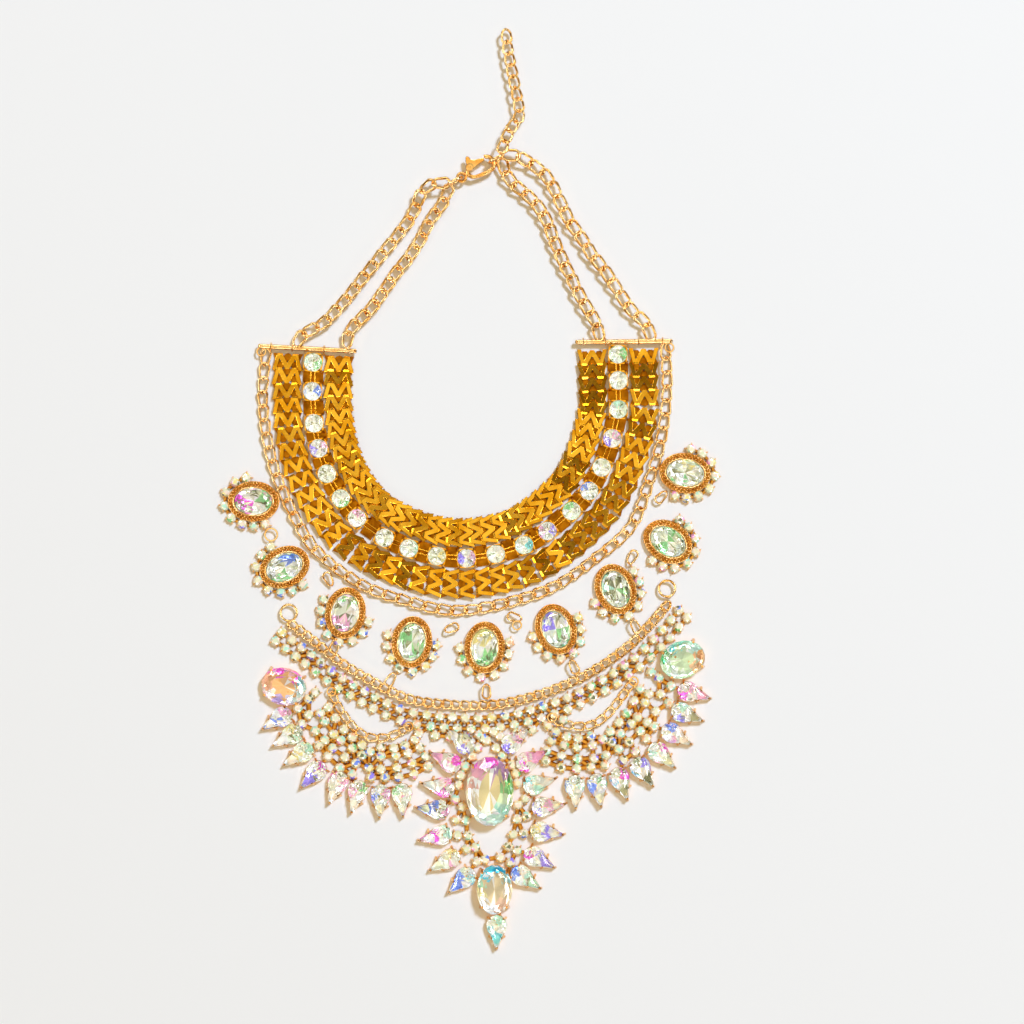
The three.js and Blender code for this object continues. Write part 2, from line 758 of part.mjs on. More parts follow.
function claspBody() {
  const shape = new THREE.Shape();
  const inner = {
    x: (hollowStart + hollowEnd) / 2,
    long: (hollowEnd - hollowStart) / 2,
    wide: hookHalfWidth - hookWall,
  };
  const tipOut = Math.acos((mouthEnd - hookMiddle) / hookHalfLength);
  const tipIn = Math.acos((mouthEnd - inner.x) / inner.long);
  const backOut = Math.acos((mouthStart - hookMiddle) / hookHalfLength);
  const backIn = Math.acos((mouthStart - inner.x) / inner.long);
  shape.absellipse(hookMiddle, 0, hookHalfLength, hookHalfWidth, tipOut, backOut, true, 0);
  shape.absellipse(inner.x, 0, inner.long, inner.wide, backIn, tipIn, false, 0);
  const hook = new THREE.ExtrudeGeometry(shape, {
    depth: claspThickness, bevelEnabled: false, curveSegments: 9,
  }).translate(0, 0, -claspThickness / 2);
  const eye = new THREE.TorusGeometry(eyeRadius, eyeWire / 2, wireSides, linkSides);
  const cheeks = new THREE.CylinderGeometry(leverBoss, leverBoss, claspThickness, 12)
    .rotateX(Math.PI / 2).translate(pinX, pinY, 0);
  const slot = new THREE.CylinderGeometry(
    leverBoss + clearance, leverBoss + clearance, leverThickness + 2 * clearance, 12,
  ).rotateX(Math.PI / 2).translate(pinX, pinY, 0);
  const sweep = new THREE.BoxGeometry(
    mouthStart, leverBoss * 2 + tabLength, leverThickness + 2 * clearance,
  ).translate(pinX + mouthStart / 2, pinY + tabLength / 2, 0);
  const pin = new THREE.CylinderGeometry(pinRadius, pinRadius, claspThickness, 10)
    .rotateX(Math.PI / 2).translate(pinX, pinY, 0);
  return join([cut(join([hook, eye, cheeks]), [slot, sweep]), pin]);
}

function claspLever() {
  const boss = [];
  const tip = mouthEnd - clearance;
  for (let i = 0; i <= 6; i += 1) {
    const angle = rad(110 + 180 * (i / 6));
    boss.push(new THREE.Vector2(pinX + leverBoss * Math.cos(angle), pinY + leverBoss * Math.sin(angle)));
  }
  const outline = [
    ...boss,
    new THREE.Vector2(tip, hookHalfWidth - hookWall - leverArm / 2),
    new THREE.Vector2(tip, hookHalfWidth - hookWall + leverArm / 2),
    new THREE.Vector2(pinX + leverBoss, hookHalfWidth),
    new THREE.Vector2(pinX + leverBoss * 0.8, hookHalfWidth + tabLength),
    new THREE.Vector2(pinX - leverBoss * 0.2, hookHalfWidth + tabLength),
  ];
  const bore = ellipse(2 * (pinRadius + clearance), 2 * (pinRadius + clearance), 10);
  const hole = bore.map((p) => new THREE.Vector2(p.x + pinX, p.y + pinY));
  return extruded(outline, leverThickness, [hole]).translate(0, 0, -leverThickness / 2);
}

const claspAxis = new THREE.Vector3(Math.cos(rad(claspTurn)), Math.sin(rad(claspTurn)), 0);
const claspEye = new THREE.Vector3(-3.0, 115.4, ringMiddle);
const leftRing = claspEye.clone().addScaledVector(claspAxis, -ringRadius);
const hookRingGap = hollowEnd - ringWire / 2 - 1.7 * clearance;
const rightRing = claspEye.clone().addScaledVector(claspAxis, hookRingGap + ringRadius);

function claspRing(middle) {
  const ring = new THREE.TorusGeometry(ringRadius, ringWire / 2, wireSides, 12);
  return ring.rotateX(Math.PI / 2).rotateZ(rad(claspTurn)).translate(...middle.toArray());
}

function setOnAxis(geometry) {
  return turned(geometry, claspTurn, claspEye.x, claspEye.y, claspEye.z);
}

// Neck chains and extender: each starts at its level on a ring's far wire
function ringAnchor(ring, side, level) {
  const out = Math.sqrt(ringRadius ** 2 - level ** 2);
  return ring.clone().addScaledVector(claspAxis, side * out).setZ(ring.z + level);
}

const linkHalfHeight = ((neckLinkWidth - neckWire) / 2) * Math.sin(rad(linkRoll)) + neckWire / 2;
const restHeight = linkHalfHeight + clearance;
const ringSeat = (ringWire + neckWire) / 2 + clearance;
const extenderLink = { width: extenderLinkWidth, wire: extenderWire, pitch: extenderPitch };
const neckLink = { width: neckLinkWidth, wire: neckWire, pitch: neckPitch };

// A chain leaves its ring level, then comes down to the floor over its first points
function routeOnFloor(start, points, height, ends = []) {
  const middle = points.map(([x, y], i) => {
    const down = Math.min(i / stepsDown, 1);
    return new THREE.Vector3(x, y, THREE.MathUtils.lerp(start.z, height, down));
  });
  return new THREE.CatmullRomCurve3([start, ...middle, ...ends]);
}

// A neck chain meets its bar squarely: the last point before the bar lies straight above it
function neckChain(route, start, coreSteps) {
  const { end, outward } = neckHolds[route];
  const hold = barPoint(end, outward).setZ(neckLinkWidth / 2);
  const tangent = collarCurve.getTangentAt(end.along);
  const above = hold.clone().addScaledVector(tangent, end.outward * neckPitch * 0.7);
  const curve = routeOnFloor(start, routes[route], restHeight, [above, hold]);
  return linkChain(curve, neckLink, ringSeat, holdSeat, 90, coreSteps);
}

const levelStep = neckWire + clearance;

// Materials
const finishes = {
  collarGold: { color: 0xd9960f, roughness: 0.35, metalness: 1 },
  chainGold: { color: 0xe0b070, roughness: 0.28, metalness: 1 },
  settingGold: { color: 0xd8a050, roughness: 0.3, metalness: 1 },
  crystal: { color: 0xd6e4c8, roughness: 0.05, metalness: 0 },
  centreCrystal: { color: 0xd8f0d4, roughness: 0.05, metalness: 0 },
};

const necklace = new THREE.Group();

function addPiece(name, geometry, finish) {
  const mesh = new THREE.Mesh(geometry, new THREE.MeshStandardMaterial(finishes[finish]));
  mesh.name = name;
  necklace.add(mesh);
}

// Assembly
const places = medallions.map(medallionPlace);
const notches = Object.values(neckHolds).map(holdNotch);
const pearRows = {
  left: pearsAlong(routes.pendantLeft, pendantPears, 1),
  right: pearsAlong(routes.pendantRight, pendantPears, -1),
};
const bottomEdge = ovals.lower.y - lowerOvalLength / 2 - clearance;
const bottomRoot = new THREE.Vector3(ovals.lower.x + bottomPearShift, bottomEdge, 0);
const bottomPear = { root: bottomRoot, turn: -90 };

addPiece('end_bar_left', endBar(collarEnds.left), 'chainGold');
addPiece('end_bar_right', endBar(collarEnds.right), 'chainGold');
for (const [name, side] of [['inner', -1], ['outer', 1]]) {
  const band = cut(collarBand(side * bandInside, side * collarHalfWidth), notches);
  addPiece(`collar_band_${name}`, band, 'collarGold');
}
addPiece('collar_stone_row', stoneRow(), 'crystal');
addPiece('border_chain', core(borderCurve(), borderChain, borderSteps), 'chainGold');
places.forEach((place, i) => {
  const { centre, turn } = place;
  const setting = turned(medallionSetting(place), turn, centre.x, centre.y);
  const stone = turned(medallionStone(), turn, centre.x, centre.y);
  addPiece(`medallion_setting_${i + 1}`, setting, 'settingGold');
  addPiece(`medallion_stone_${i + 1}`, stone, 'crystal');
});
addPiece('bib_chain', bibChainNode(places), 'chainGold');
addPiece('bib_band', bibBand(), 'settingGold');

for (const [side, route, outward] of [['left', 'Left', 1], ['right', 'Right', -1]]) {
  const swag = curveThrough(routes[`swag${route}`]);
  swag.points.forEach((p) => p.setZ(swagChain / 2));
  addPiece(`swag_chain_${side}`, core(swag, swagChain, swagSteps), 'chainGold');
  const oval = ovals[side];
  const room = ovalRoom(sideOvalLength, sideOvalWidth, oval.turn, oval.x, oval.y);
  const rim = routes[`fan${route}`];
  const pears = pearsAlong(rim, fanPears, outward);
  const fanPiece = fan(routes[`swag${route}`], pears, rim, outward, oval, [room]);
  addPiece(`fan_${side}`, fanPiece, 'crystal');
  const stone = ovalStone(sideOvalLength, sideOvalWidth, sideOvalHeight, ovalSides, 0);
  addPiece(`side_oval_${side}`, turned(stone, oval.turn, oval.x, oval.y), 'centreCrystal');
  pearRows[side].forEach((place, i) => {
    addPiece(`pendant_pear_${side}_${i + 1}`, pearStone(place), 'crystal');
  });
}

const pearRooms = [...pearRows.left, ...pearRows.right, bottomPear].map(pearRoom);
addPiece('pendant_frame', pendantFrame(pearRooms), 'settingGold');
addPiece('pendant_pear_bottom', pearStone(bottomPear), 'crystal');
for (const [name, length, width, height] of [
  ['centre', centreOvalLength, centreOvalWidth, centreOvalHeight],
  ['lower', lowerOvalLength, lowerOvalWidth, sideOvalHeight],
]) {
  const { x, y, turn } = ovals[name];
  const stone = ovalStone(length, width, height, ovalSides, framePlate + clearance);
  addPiece(`${name}_oval`, turned(stone, turn, x, y), 'centreCrystal');
}

addPiece('clasp_body', setOnAxis(claspBody()), 'chainGold');
addPiece('clasp_lever', setOnAxis(claspLever()), 'chainGold');
addPiece('clasp_ring_left', claspRing(leftRing), 'chainGold');
addPiece('clasp_ring_right', claspRing(rightRing), 'chainGold');
for (const [name, route, anchor, coreSteps] of [
  ['left_outer', 'neckLeftOuter', ringAnchor(leftRing, -1, levelStep / 2), 0],
  ['left_inner', 'neckLeftInner', ringAnchor(leftRing, -1, -levelStep / 2), neckCoreSteps],
  ['right_outer', 'neckRightOuter', ringAnchor(rightRing, 1, 0), 0],
  ['right_inner', 'neckRightInner', ringAnchor(rightRing, 1, -levelStep), neckCoreSteps],
]) {
  addPiece(`neck_chain_${name}`, neckChain(route, anchor, coreSteps), 'chainGold');
}
const extenderRoute = routeOnFloor(ringAnchor(rightRing, 1, levelStep), routes.extender, restHeight);
const extenderLast = -extenderWire / 2;
const extenderPiece = linkChain(
  extenderRoute, extenderLink, ringSeat, extenderLast, linkRoll, extenderCoreSteps,
);
addPiece('extender_chain', extenderPiece, 'chainGold');

// The origin is the middle of the underside
const bounds = new THREE.Box3().setFromObject(necklace);
const foot = bounds.getCenter(new THREE.Vector3()).setZ(bounds.min.z);
necklace.position.copy(foot.negate());

export default necklace;
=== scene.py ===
# %% [markdown]
# # A bib necklace, laid flat
# The necklace is costume jewellery: a collar of stamped zigzag plates, a row of square-set
# stones, curb chains, nine oval medallions, a band and two fans of small stones, pear stones
# like a fringe and a pendant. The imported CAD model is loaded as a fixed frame, and each piece
# below is modelled in its place in that frame, in metres.

import math
import random

import bmesh
import bpy
from mathutils import Matrix, Vector


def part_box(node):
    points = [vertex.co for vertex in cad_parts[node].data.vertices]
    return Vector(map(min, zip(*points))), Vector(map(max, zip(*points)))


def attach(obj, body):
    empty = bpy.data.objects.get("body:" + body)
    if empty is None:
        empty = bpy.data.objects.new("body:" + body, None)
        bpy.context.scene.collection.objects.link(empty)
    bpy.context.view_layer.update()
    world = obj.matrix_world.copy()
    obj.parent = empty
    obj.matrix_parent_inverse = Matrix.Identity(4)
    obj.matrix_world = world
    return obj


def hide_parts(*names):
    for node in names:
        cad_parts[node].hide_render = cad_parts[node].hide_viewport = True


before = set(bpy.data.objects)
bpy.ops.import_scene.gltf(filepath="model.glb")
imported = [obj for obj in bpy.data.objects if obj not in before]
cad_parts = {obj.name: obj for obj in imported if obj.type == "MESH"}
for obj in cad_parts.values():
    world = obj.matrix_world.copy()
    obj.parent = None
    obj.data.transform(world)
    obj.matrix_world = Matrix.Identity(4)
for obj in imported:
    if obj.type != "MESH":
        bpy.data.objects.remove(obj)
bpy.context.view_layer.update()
MM = 0.001

# %% [markdown]
# The real necklace was measured from the photograph, where one pixel is 0.37 mm. The CAD
# model's origin is the middle of its underside, so the design points are shifted to it once,
# here. After that a place on the photograph and a place on the model are the same thing.

# %% Places on the model
PIXEL = 0.37
MIDDLE = (470.0, 490.5)
TO_ORIGIN = (0.1264, -0.0552)


def spot(x, y, z=0.0):
    """A design point in millimetres, as metres in the frame."""
    return Vector(((x + TO_ORIGIN[0]) * MM, (y + TO_ORIGIN[1]) * MM, z * MM))


def seen(x, y, z=0.0):
    """The place of a photograph pixel."""
    return spot((x - MIDDLE[0]) * PIXEL, (MIDDLE[1] - y) * PIXEL, z)


print("the frame's middle falls on", [round(v, 4) for v in seen(512, 512)])

# %% [markdown]
# The camera looks straight down, as the photograph does. It stands 0.9 m up with a lens that
# takes in 379 mm, so the thick stones hardly lean outwards. It is made first, because every
# later choice is judged through it.

# %% Camera
VIEW_WIDTH = 1024 * PIXEL * MM
CAMERA_HEIGHT = 0.9
SENSOR = 36.0
bpy.ops.object.select_all(action="DESELECT")
bpy.ops.object.camera_add(location=seen(512, 512) + Vector((0, 0, CAMERA_HEIGHT)))
camera = bpy.context.object
camera.name = "camera"
camera.data.sensor_width = SENSOR
camera.data.lens = SENSOR * CAMERA_HEIGHT / VIEW_WIDTH
bpy.context.scene.camera = camera
print("lens", round(camera.data.lens, 1), "mm")

# %% [markdown]
# Chains and rows of stones follow smooth routes. A route is a few chosen points with a curve
# laid through them. It is walked by real length, so that links and stones keep their pitch.

# %% Routes
class Route:
    """A smooth curve through points, walked by length in metres."""

    def __init__(self, points, steps=24):
        points = [Vector(p) for p in points]
        ends = [2 * points[0] - points[1], 2 * points[-1] - points[-2]]
        points = [ends[0], *points, ends[1]]
        self.dots = []
        for p0, p1, p2, p3 in zip(points, points[1:], points[2:], points[3:]):
            t1 = (p1 - p0).length ** 0.5
            t2 = t1 + (p2 - p1).length ** 0.5
            t3 = t2 + (p3 - p2).length ** 0.5
            for i in range(steps):
                t = t1 + (t2 - t1) * i / steps
                a1 = p0.lerp(p1, t / t1)
                a2 = p1.lerp(p2, (t - t1) / (t2 - t1))
                a3 = p2.lerp(p3, (t - t2) / (t3 - t2))
                b1 = a1.lerp(a2, t / t2)
                b2 = a2.lerp(a3, (t - t1) / (t3 - t1))
                self.dots.append(b1.lerp(b2, (t - t1) / (t2 - t1)))
        self.dots.append(points[-2])
        self.walked = [0.0]
        for a, b in zip(self.dots, self.dots[1:]):
            self.walked.append(self.walked[-1] + (b - a).length)
        self.length = self.walked[-1]

    def at(self, share):
        """The point and the direction at a share of the length."""
        want = min(max(share, 0.0), 1.0) * self.length
        i = 1
        while i < len(self.walked) - 1 and self.walked[i] < want:
            i += 1
        a, b = self.dots[i - 1], self.dots[i]
        part = (want - self.walked[i - 1]) / max(self.walked[i] - self.walked[i - 1], 1e-9)
        return a.lerp(b, part), (b - a).normalized()

    def beside(self, share, offset):
        """A point to the right of the direction of travel, offset in metres."""
        point, along = self.at(share)
        return point + Vector((along.y, -along.x, 0)) * offset


def route(*points, z=0.0):
    return Route([spot(x, y, z) for x, y in points])


collar_line = route(
    (-57.7, 51.2), (-58.1, 36.8), (-56.6, 18.7), (-50.7, 2.0), (-38.5, -13.1), (-22.6, -21.3),
    (-12.2, -24.2), (-1.5, -25.0), (9.2, -23.5), (20.0, -20.2), (33.3, -11.3), (44.0, -0.2),
    (51.4, 15.7), (54.8, 29.8), (54.8, 40.5), (54.5, 53.5),
)
print("the collar's middle line is", round(collar_line.length / MM, 1), "mm long")

# %% [markdown]
# Most of the necklace repeats: links, plates, cups and stones. Each is modelled once at the
# origin, then copied to its places, and the copies are joined into one piece. The place goes
# into the mesh, so the finished piece's object stays at the origin.

# %% Copies in a row
def clear():
    """Back to object mode with nothing selected, because an operator acts on all that is."""
    if bpy.context.object and bpy.context.object.mode != "OBJECT":
        bpy.ops.object.mode_set(mode="OBJECT")
    bpy.ops.object.select_all(action="DESELECT")


def settle():
    """Puts the active object's place, turn and size into its mesh."""
    bpy.ops.object.transform_apply(location=True, rotation=True, scale=True)


def joined(objects, name):
    clear()
    for one in objects:
        one.select_set(True)
    bpy.context.view_layer.objects.active = objects[0]
    if len(objects) > 1:
        bpy.ops.object.join()
    whole = bpy.context.object
    settle()
    whole.name = name
    whole.data.name = name
    return whole


def copy_of(model, place):
    one = model.copy()
    one.data = model.data.copy()
    bpy.context.collection.objects.link(one)
    one.matrix_world = place
    return one


def turned(degrees, axis):
    return Matrix.Rotation(math.radians(degrees), 4, axis)


def flat_place(point, degrees=0.0, size=1.0):
    return Matrix.Translation(point) @ turned(degrees, "Z") @ Matrix.Scale(size, 4)


def along_place(point, along, roll=0.0):
    """X runs along the direction of travel, and Z is up before the roll about X."""
    side = Vector((0, 0, 1)).cross(along).normalized()
    over = along.cross(side)
    basis = Matrix((along, side, over)).transposed().to_4x4()
    return Matrix.Translation(point) @ basis @ turned(roll, "X")


def heading(along):
    return math.degrees(math.atan2(along.y, along.x))


def edit(model):
    """Into edit mode, with the model's place already in its mesh, so that picks by place work."""
    clear()
    model.select_set(True)
    bpy.context.view_layer.objects.active = model
    settle()
    bpy.ops.object.mode_set(mode="EDIT")
    bpy.ops.mesh.select_all(action="DESELECT")


def pick(test, mode="VERT"):
    """Selects the vertices or faces whose middle passes the test, in edit mode."""
    bpy.ops.mesh.select_mode(type=mode)
    bpy.ops.mesh.select_all(action="DESELECT")
    mesh = bmesh.from_edit_mesh(bpy.context.object.data)
    for part in mesh.verts if mode == "VERT" else mesh.faces:
        if test(part.co if mode == "VERT" else part.calc_center_median()):
            part.select_set(True)
    mesh.select_flush_mode()
    bmesh.update_edit_mesh(bpy.context.object.data)


def finish_model(smooth=None):
    """Leaves edit mode; smooth is the angle in degrees under which edges are shaded round."""
    if bpy.context.object.mode != "OBJECT":
        bpy.ops.object.mode_set(mode="OBJECT")
    settle()
    if smooth is not None:
        bpy.ops.object.shade_smooth_by_angle(angle=math.radians(smooth))
    return bpy.context.object


models = []


def model_named(name):
    """The object being modelled becomes a model to copy; it is removed at the end."""
    model = bpy.context.object
    model.name = name
    models.append(model)
    return model


print("copying helpers are ready")

# %% [markdown]
# Nearly every part starts as a cylinder or as a ring of round wire that is then pulled into
# shape, so these first steps are written once. Sizes are in millimetres, places in metres.

# %% First shapes
def cylinder(sides, radius, height, place=None, turn=(0, 0, 0)):
    """Stands on the origin, unless it gets a place for its middle and a turn in degrees."""
    clear()
    bpy.ops.mesh.primitive_cylinder_add(
        vertices=sides,
        radius=radius * MM,
        depth=height * MM,
        location=(0, 0, height / 2 * MM) if place is None else place,
        rotation=[math.radians(v) for v in turn],
    )
    return bpy.context.object


def torus(around, sides, radius, wire, place=(0, 0, 0), turn=(0, 0, 0)):
    """The radius goes to the middle of the wire; wire is its thickness."""
    clear()
    bpy.ops.mesh.primitive_torus_add(
        major_segments=around,
        minor_segments=sides,
        major_radius=radius * MM,
        minor_radius=wire / 2 * MM,
        location=place,
        rotation=[math.radians(v) for v in turn],
    )
    return bpy.context.object


def claw(sides, foot, top, height, place, lean):
    """A tapering wire with its foot and top radius, its middle and its lean in radians."""
    clear()
    bpy.ops.mesh.primitive_cone_add(
        vertices=sides,
        radius1=foot * MM,
        radius2=top * MM,
        depth=height * MM,
        location=place,
        rotation=lean,
    )
    return bpy.context.object


def pull_all(x, y, z=1, about=(0, 0, 0)):
    """Pulls the whole mesh longer or wider, in edit mode."""
    bpy.ops.mesh.select_all(action="SELECT")
    bpy.ops.transform.resize(value=(x, y, z), center_override=about)


def face_out():
    """Turns every face outward, in edit mode."""
    bpy.ops.mesh.select_all(action="SELECT")
    bpy.ops.mesh.normals_make_consistent(inside=False)


print("first shapes are ready")

# %% [markdown]
# Three gold finishes are on this necklace. The collar plates are stamped brass with a deep
# yellow plate, the chains are drawn wire with a paler, rosier plate, and the settings are
# cast and then plated. All are metal, so they have metallic 1 and keep the default IOR. What
# the eye tells them apart by is the colour and how sharp the shine is.

# %% A node and a colour
def hex_colour(code):
    """An sRGB hex value as Blender's linear colour."""
    parts = [int(code[i : i + 2], 16) / 255 for i in (1, 3, 5)]
    linear = [v / 12.92 if v <= 0.04045 else ((v + 0.055) / 1.055) ** 2.4 for v in parts]
    return (*linear, 1.0)


def add_node(material, kind, links=(), **settings):
    """Adds a node. Settings are its options or its inputs; links are (input, output) pairs."""
    node = material.node_tree.nodes.new(kind)
    for name, value in settings.items():
        label = name.replace("_", " ")
        sockets = {s.name.lower(): s for s in node.inputs if s.enabled}
        if label.lower() in sockets:
            sockets[label.lower()].default_value = value
        else:
            setattr(node, name, value)
    for name, output in links:
        material.node_tree.links.new(output, node.inputs[name])
    return node


def ramp(material, factor, stops):
    """A colour ramp from (position, hex) stops."""
    node = add_node(material, "ShaderNodeValToRGB", [("Fac", factor)])
    band = node.color_ramp.elements
    while len(band) < len(stops):
        band.new(0.5)
    for element, (position, code) in zip(band, stops):
        element.position = position
        element.color = hex_colour(code)
    return node.outputs["Color"]


def new_material(name):
    material = bpy.data.materials.new(name)
    material.use_nodes = True
    material.node_tree.nodes.clear()
    return material


def shade(material, links, **settings):
    shader = add_node(material, "ShaderNodeBsdfPrincipled", links, **settings)
    add_node(material, "ShaderNodeOutputMaterial", [("Surface", shader.outputs["BSDF"])])
    return material


# %% [markdown]
# Every metal part is base metal under a thin coat of gold, so the parts differ mostly in how
# the metal below was shaped. A rolled and polished plate shines evenly, a drawn wire is
# smoothest, a casting keeps some grain, and ground that no wheel reaches stays matt. The
# folded backs of the plates and the ground of the castings are also painted darker, as the
# shade that they lie in. One function makes them all: the colour drifts a little over a few
# millimetres, where the coat is thicker or thinner, and fine marks vary the shine and break up
# the reflections.

# %% Gold plate
def gold_plate(name, bright, deep, patch, grain, smoothest, dullest, relief):
    """patch and grain are the sizes in millimetres of the colour change and of the fine marks."""
    made = new_material(name)
    place = add_node(made, "ShaderNodeTexCoord").outputs["Object"]
    patches = add_node(
        made, "ShaderNodeTexNoise", [("Vector", place)], Scale=1000 / patch, Detail=3.0
    )
    marks = add_node(
        made, "ShaderNodeTexNoise", [("Vector", place)], Scale=1000 / grain, Detail=2.0
    )
    colour = ramp(made, patches.outputs["Fac"], [(0.35, deep), (0.62, bright)])
    dull = add_node(
        made,
        "ShaderNodeMapRange",
        [("Value", marks.outputs["Fac"])],
        To_Min=smoothest,
        To_Max=dullest,
    )
    bump = add_node(
        made,
        "ShaderNodeBump",
        [("Height", marks.outputs["Fac"])],
        Strength=relief,
        Distance=0.05 * MM,
    )
    return shade(
        made,
        [
            ("Base Color", colour),
            ("Roughness", dull.outputs["Result"]),
            ("Normal", bump.outputs["Normal"]),
        ],
        Metallic=1.0,
    )


# stamped and polished: soft wide shine, deep yellow
stamped_brass = gold_plate(
    "gold-plated stamped brass", "#FCC440", "#E2A01A", 6, 0.8, 0.14, 0.26, 0.3
)
# the folded back of the same plates: less polished, and painted darker as the shade under them
shaded_back_brass = gold_plate(
    "gold-plated brass, unpolished back painted darker as shade", "#CC8414", "#9A5C0A", 3, 0.6, 0.35, 0.55, 0.4
)
# drawn wire: hard thin highlights, rosy
drawn_wire = gold_plate("gold-plated brass wire", "#FCDCA6", "#EFB96C", 4, 0.5, 0.06, 0.14, 0.15)
# cast zinc: rounder edges, a little orange in the hollows
cast_zinc = gold_plate("gold-plated zinc casting", "#FCD08C", "#EBA850", 3, 0.6, 0.14, 0.26, 0.25)
# the ground of a casting, which no polishing wheel reaches: matt, and painted deep orange as the
# shade that it lies in between the cups and stones
shaded_zinc = gold_plate(
    "gold-plated zinc casting, unpolished", "#E8AC4C", "#B87A2C", 2, 0.5, 0.3, 0.46, 0.5
)
print("gold finishes:", stamped_brass.name, "|", drawn_wire.name, "|", cast_zinc.name)


def wear(piece, *materials):
    """Gives a piece its materials."""
    piece.data.materials.clear()
    for material in materials:
        piece.data.materials.append(material)
    return piece


# %% [markdown]
# A curb chain's link is an oval of round wire with a twist, so that each link lies over the
# last and under the next and the chain lies flat. A ring pulled long and twisted with a
# Simple Deform gives just that. Links are repeated hundreds of times, so each keeps few faces.

# %% A curb link
def curb_link(name, length, width, wire, twist, around=14, sides=6):
    edit(torus(around, sides, (width - wire) / 2, wire))
    pull = (length - width) / 2 * MM
    for side in (-1, 1):
        pick(lambda v: v.x * side > 0.05 * width * MM)
        bpy.ops.transform.translate(value=(side * pull, 0, 0))
    bpy.ops.object.mode_set(mode="OBJECT")
    twisting = bpy.context.object.modifiers.new("twist", "SIMPLE_DEFORM")
    twisting.deform_method = "TWIST"
    twisting.deform_axis = "X"
    twisting.angle = math.radians(twist)
    bpy.ops.object.modifier_apply(modifier=twisting.name)
    bpy.ops.object.shade_smooth()
    return model_named(name)


neck_link = curb_link("neck link", 7.6, 5.1, 1.2, 70)
extender_link = curb_link("extender link", 6.3, 4.7, 1.05, 70)
border_link = curb_link("border link", 7.2, 4.7, 1.0, 60)
bib_link = curb_link("bib link", 5.1, 4.3, 1.12, 75)
swag_link = curb_link("swag link", 5.4, 3.7, 0.92, 70)
print("link faces:", len(neck_link.data.polygons))


# %% [markdown]
# A curb chain lies flat because each link is twisted and leans on the next. Here one link is
# set along a route again and again, a step apart, always leaning the same way, so that
# neighbours pass through each other as real links do. Bending a ready chain along a curve
# would be shorter, but it bends the links too, and a real link is stiff.

# %% Chains along their routes
# the most that a loose link rolls and turns out of line, in degrees
LINK_ROLL, LINK_TURN = 7, 4


def chain(name, model, path, pitch, lean):
    """Links at an even pitch, each a little out of line with the last, as loose links lie."""
    count = round(path.length / (pitch * MM))
    rng = random.Random(name)
    links = []
    for i in range(count):
        point, along = path.at((i + 0.5) / count)
        roll = lean + rng.uniform(-LINK_ROLL, LINK_ROLL)
        place = along_place(point, along, roll)
        place = place @ turned(rng.uniform(-LINK_TURN, LINK_TURN), "Z")
        links.append(copy_of(model, place))
    made = wear(joined(links, name), drawn_wire)
    print(name, count, "links at", round(path.length / count / MM, 2), "mm")
    return made


def carried(piece, *nodes, body="necklace", finish="chain_gold"):
    """The piece rides on its body and stands for its CAD nodes, which are hidden; finish is not
    used.
    """
    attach(piece, body)
    if nodes:
        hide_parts(*nodes)
    return piece


REST = 3.0


def lying(points):
    """A route through points in millimetres; a point without a height lies at REST."""
    return Route([spot(*p) if len(p) == 3 else spot(*p, REST) for p in points])


neck_routes = {
    "neck_chain_left_outer": [
        (-7.9, 113.2, 4.6), (-13.9, 112.6, 4.6), (-17.6, 109.8, 4.0), (-19.9, 104.5),
        (-22.9, 99.0), (-29.6, 90.5), (-38.9, 79.0), (-46.6, 69.4), (-54.5, 61.4), (-61.6, 57.4),
        (-64.2, 53.6, 2.6),
    ],
    "neck_chain_left_inner": [
        (-7.6, 112.0, 3.2), (-9.2, 107.6, 3.1), (-11.5, 103.6), (-14.2, 100.2), (-16.2, 96.4),
        (-18.6, 91.8), (-22.2, 86.4), (-27.0, 80.5), (-31.5, 73.8), (-36.3, 67.2), (-40.7, 62.7),
        (-44.2, 58.6), (-45.6, 53.0, 2.6),
    ],
    "neck_chain_right_inner": [
        (11.9, 121.8, 2.8), (12.8, 118.2), (14.8, 114.6), (18.0, 111.5), (21.5, 108.6),
        (24.9, 105.0), (27.6, 100.9), (29.6, 96.2), (31.6, 91.0), (34.6, 84.0), (37.6, 78.0),
        (40.3, 72.4), (43.7, 66.5), (46.4, 61.8), (48.1, 56.0, 2.6),
    ],
    "neck_chain_right_outer": [
        (12.6, 123.6, 3.8), (17.4, 123.2, 3.6), (22.6, 120.4), (27.4, 116.7), (30.7, 111.9),
        (33.3, 106.4), (35.9, 101.0), (38.9, 96.2), (42.2, 91.6), (45.1, 86.8), (48.8, 82.4),
        (52.5, 77.1), (56.2, 71.2), (60.3, 65.7), (64.6, 61.8), (67.1, 56.0, 2.6),
    ],
}
for name, points in neck_routes.items():
    carried(chain(name + "_links", neck_link, lying(points), 5.2, 12), name)

extender_path = lying([
    (11.6, 124.6, 4.8), (13.2, 129.2, 4.2), (15.4, 133.6, 3.6), (18.1, 137.8), (17.8, 143.4),
    (17.0, 147.1), (16.3, 150.8), (15.5, 154.8), (14.8, 158.5), (14.1, 162.2), (13.3, 169.6),
])
carried(chain("extender_links", extender_link, extender_path, 4.3, 14), "extender_chain")

# %% [markdown]
# The collar is made of stamped zigzag plates, each an M whose two peaks lie on the feet of the
# plate before it, like roof tiles. The white line across each peak in the photograph is its
# raised edge. A disc with one corner for each corner of the M is pulled into the outline, then
# given thickness and a small bevel that catches the light, and tipped so that the peaks stand.

# %% One zigzag plate
PLATE_TILT = 13


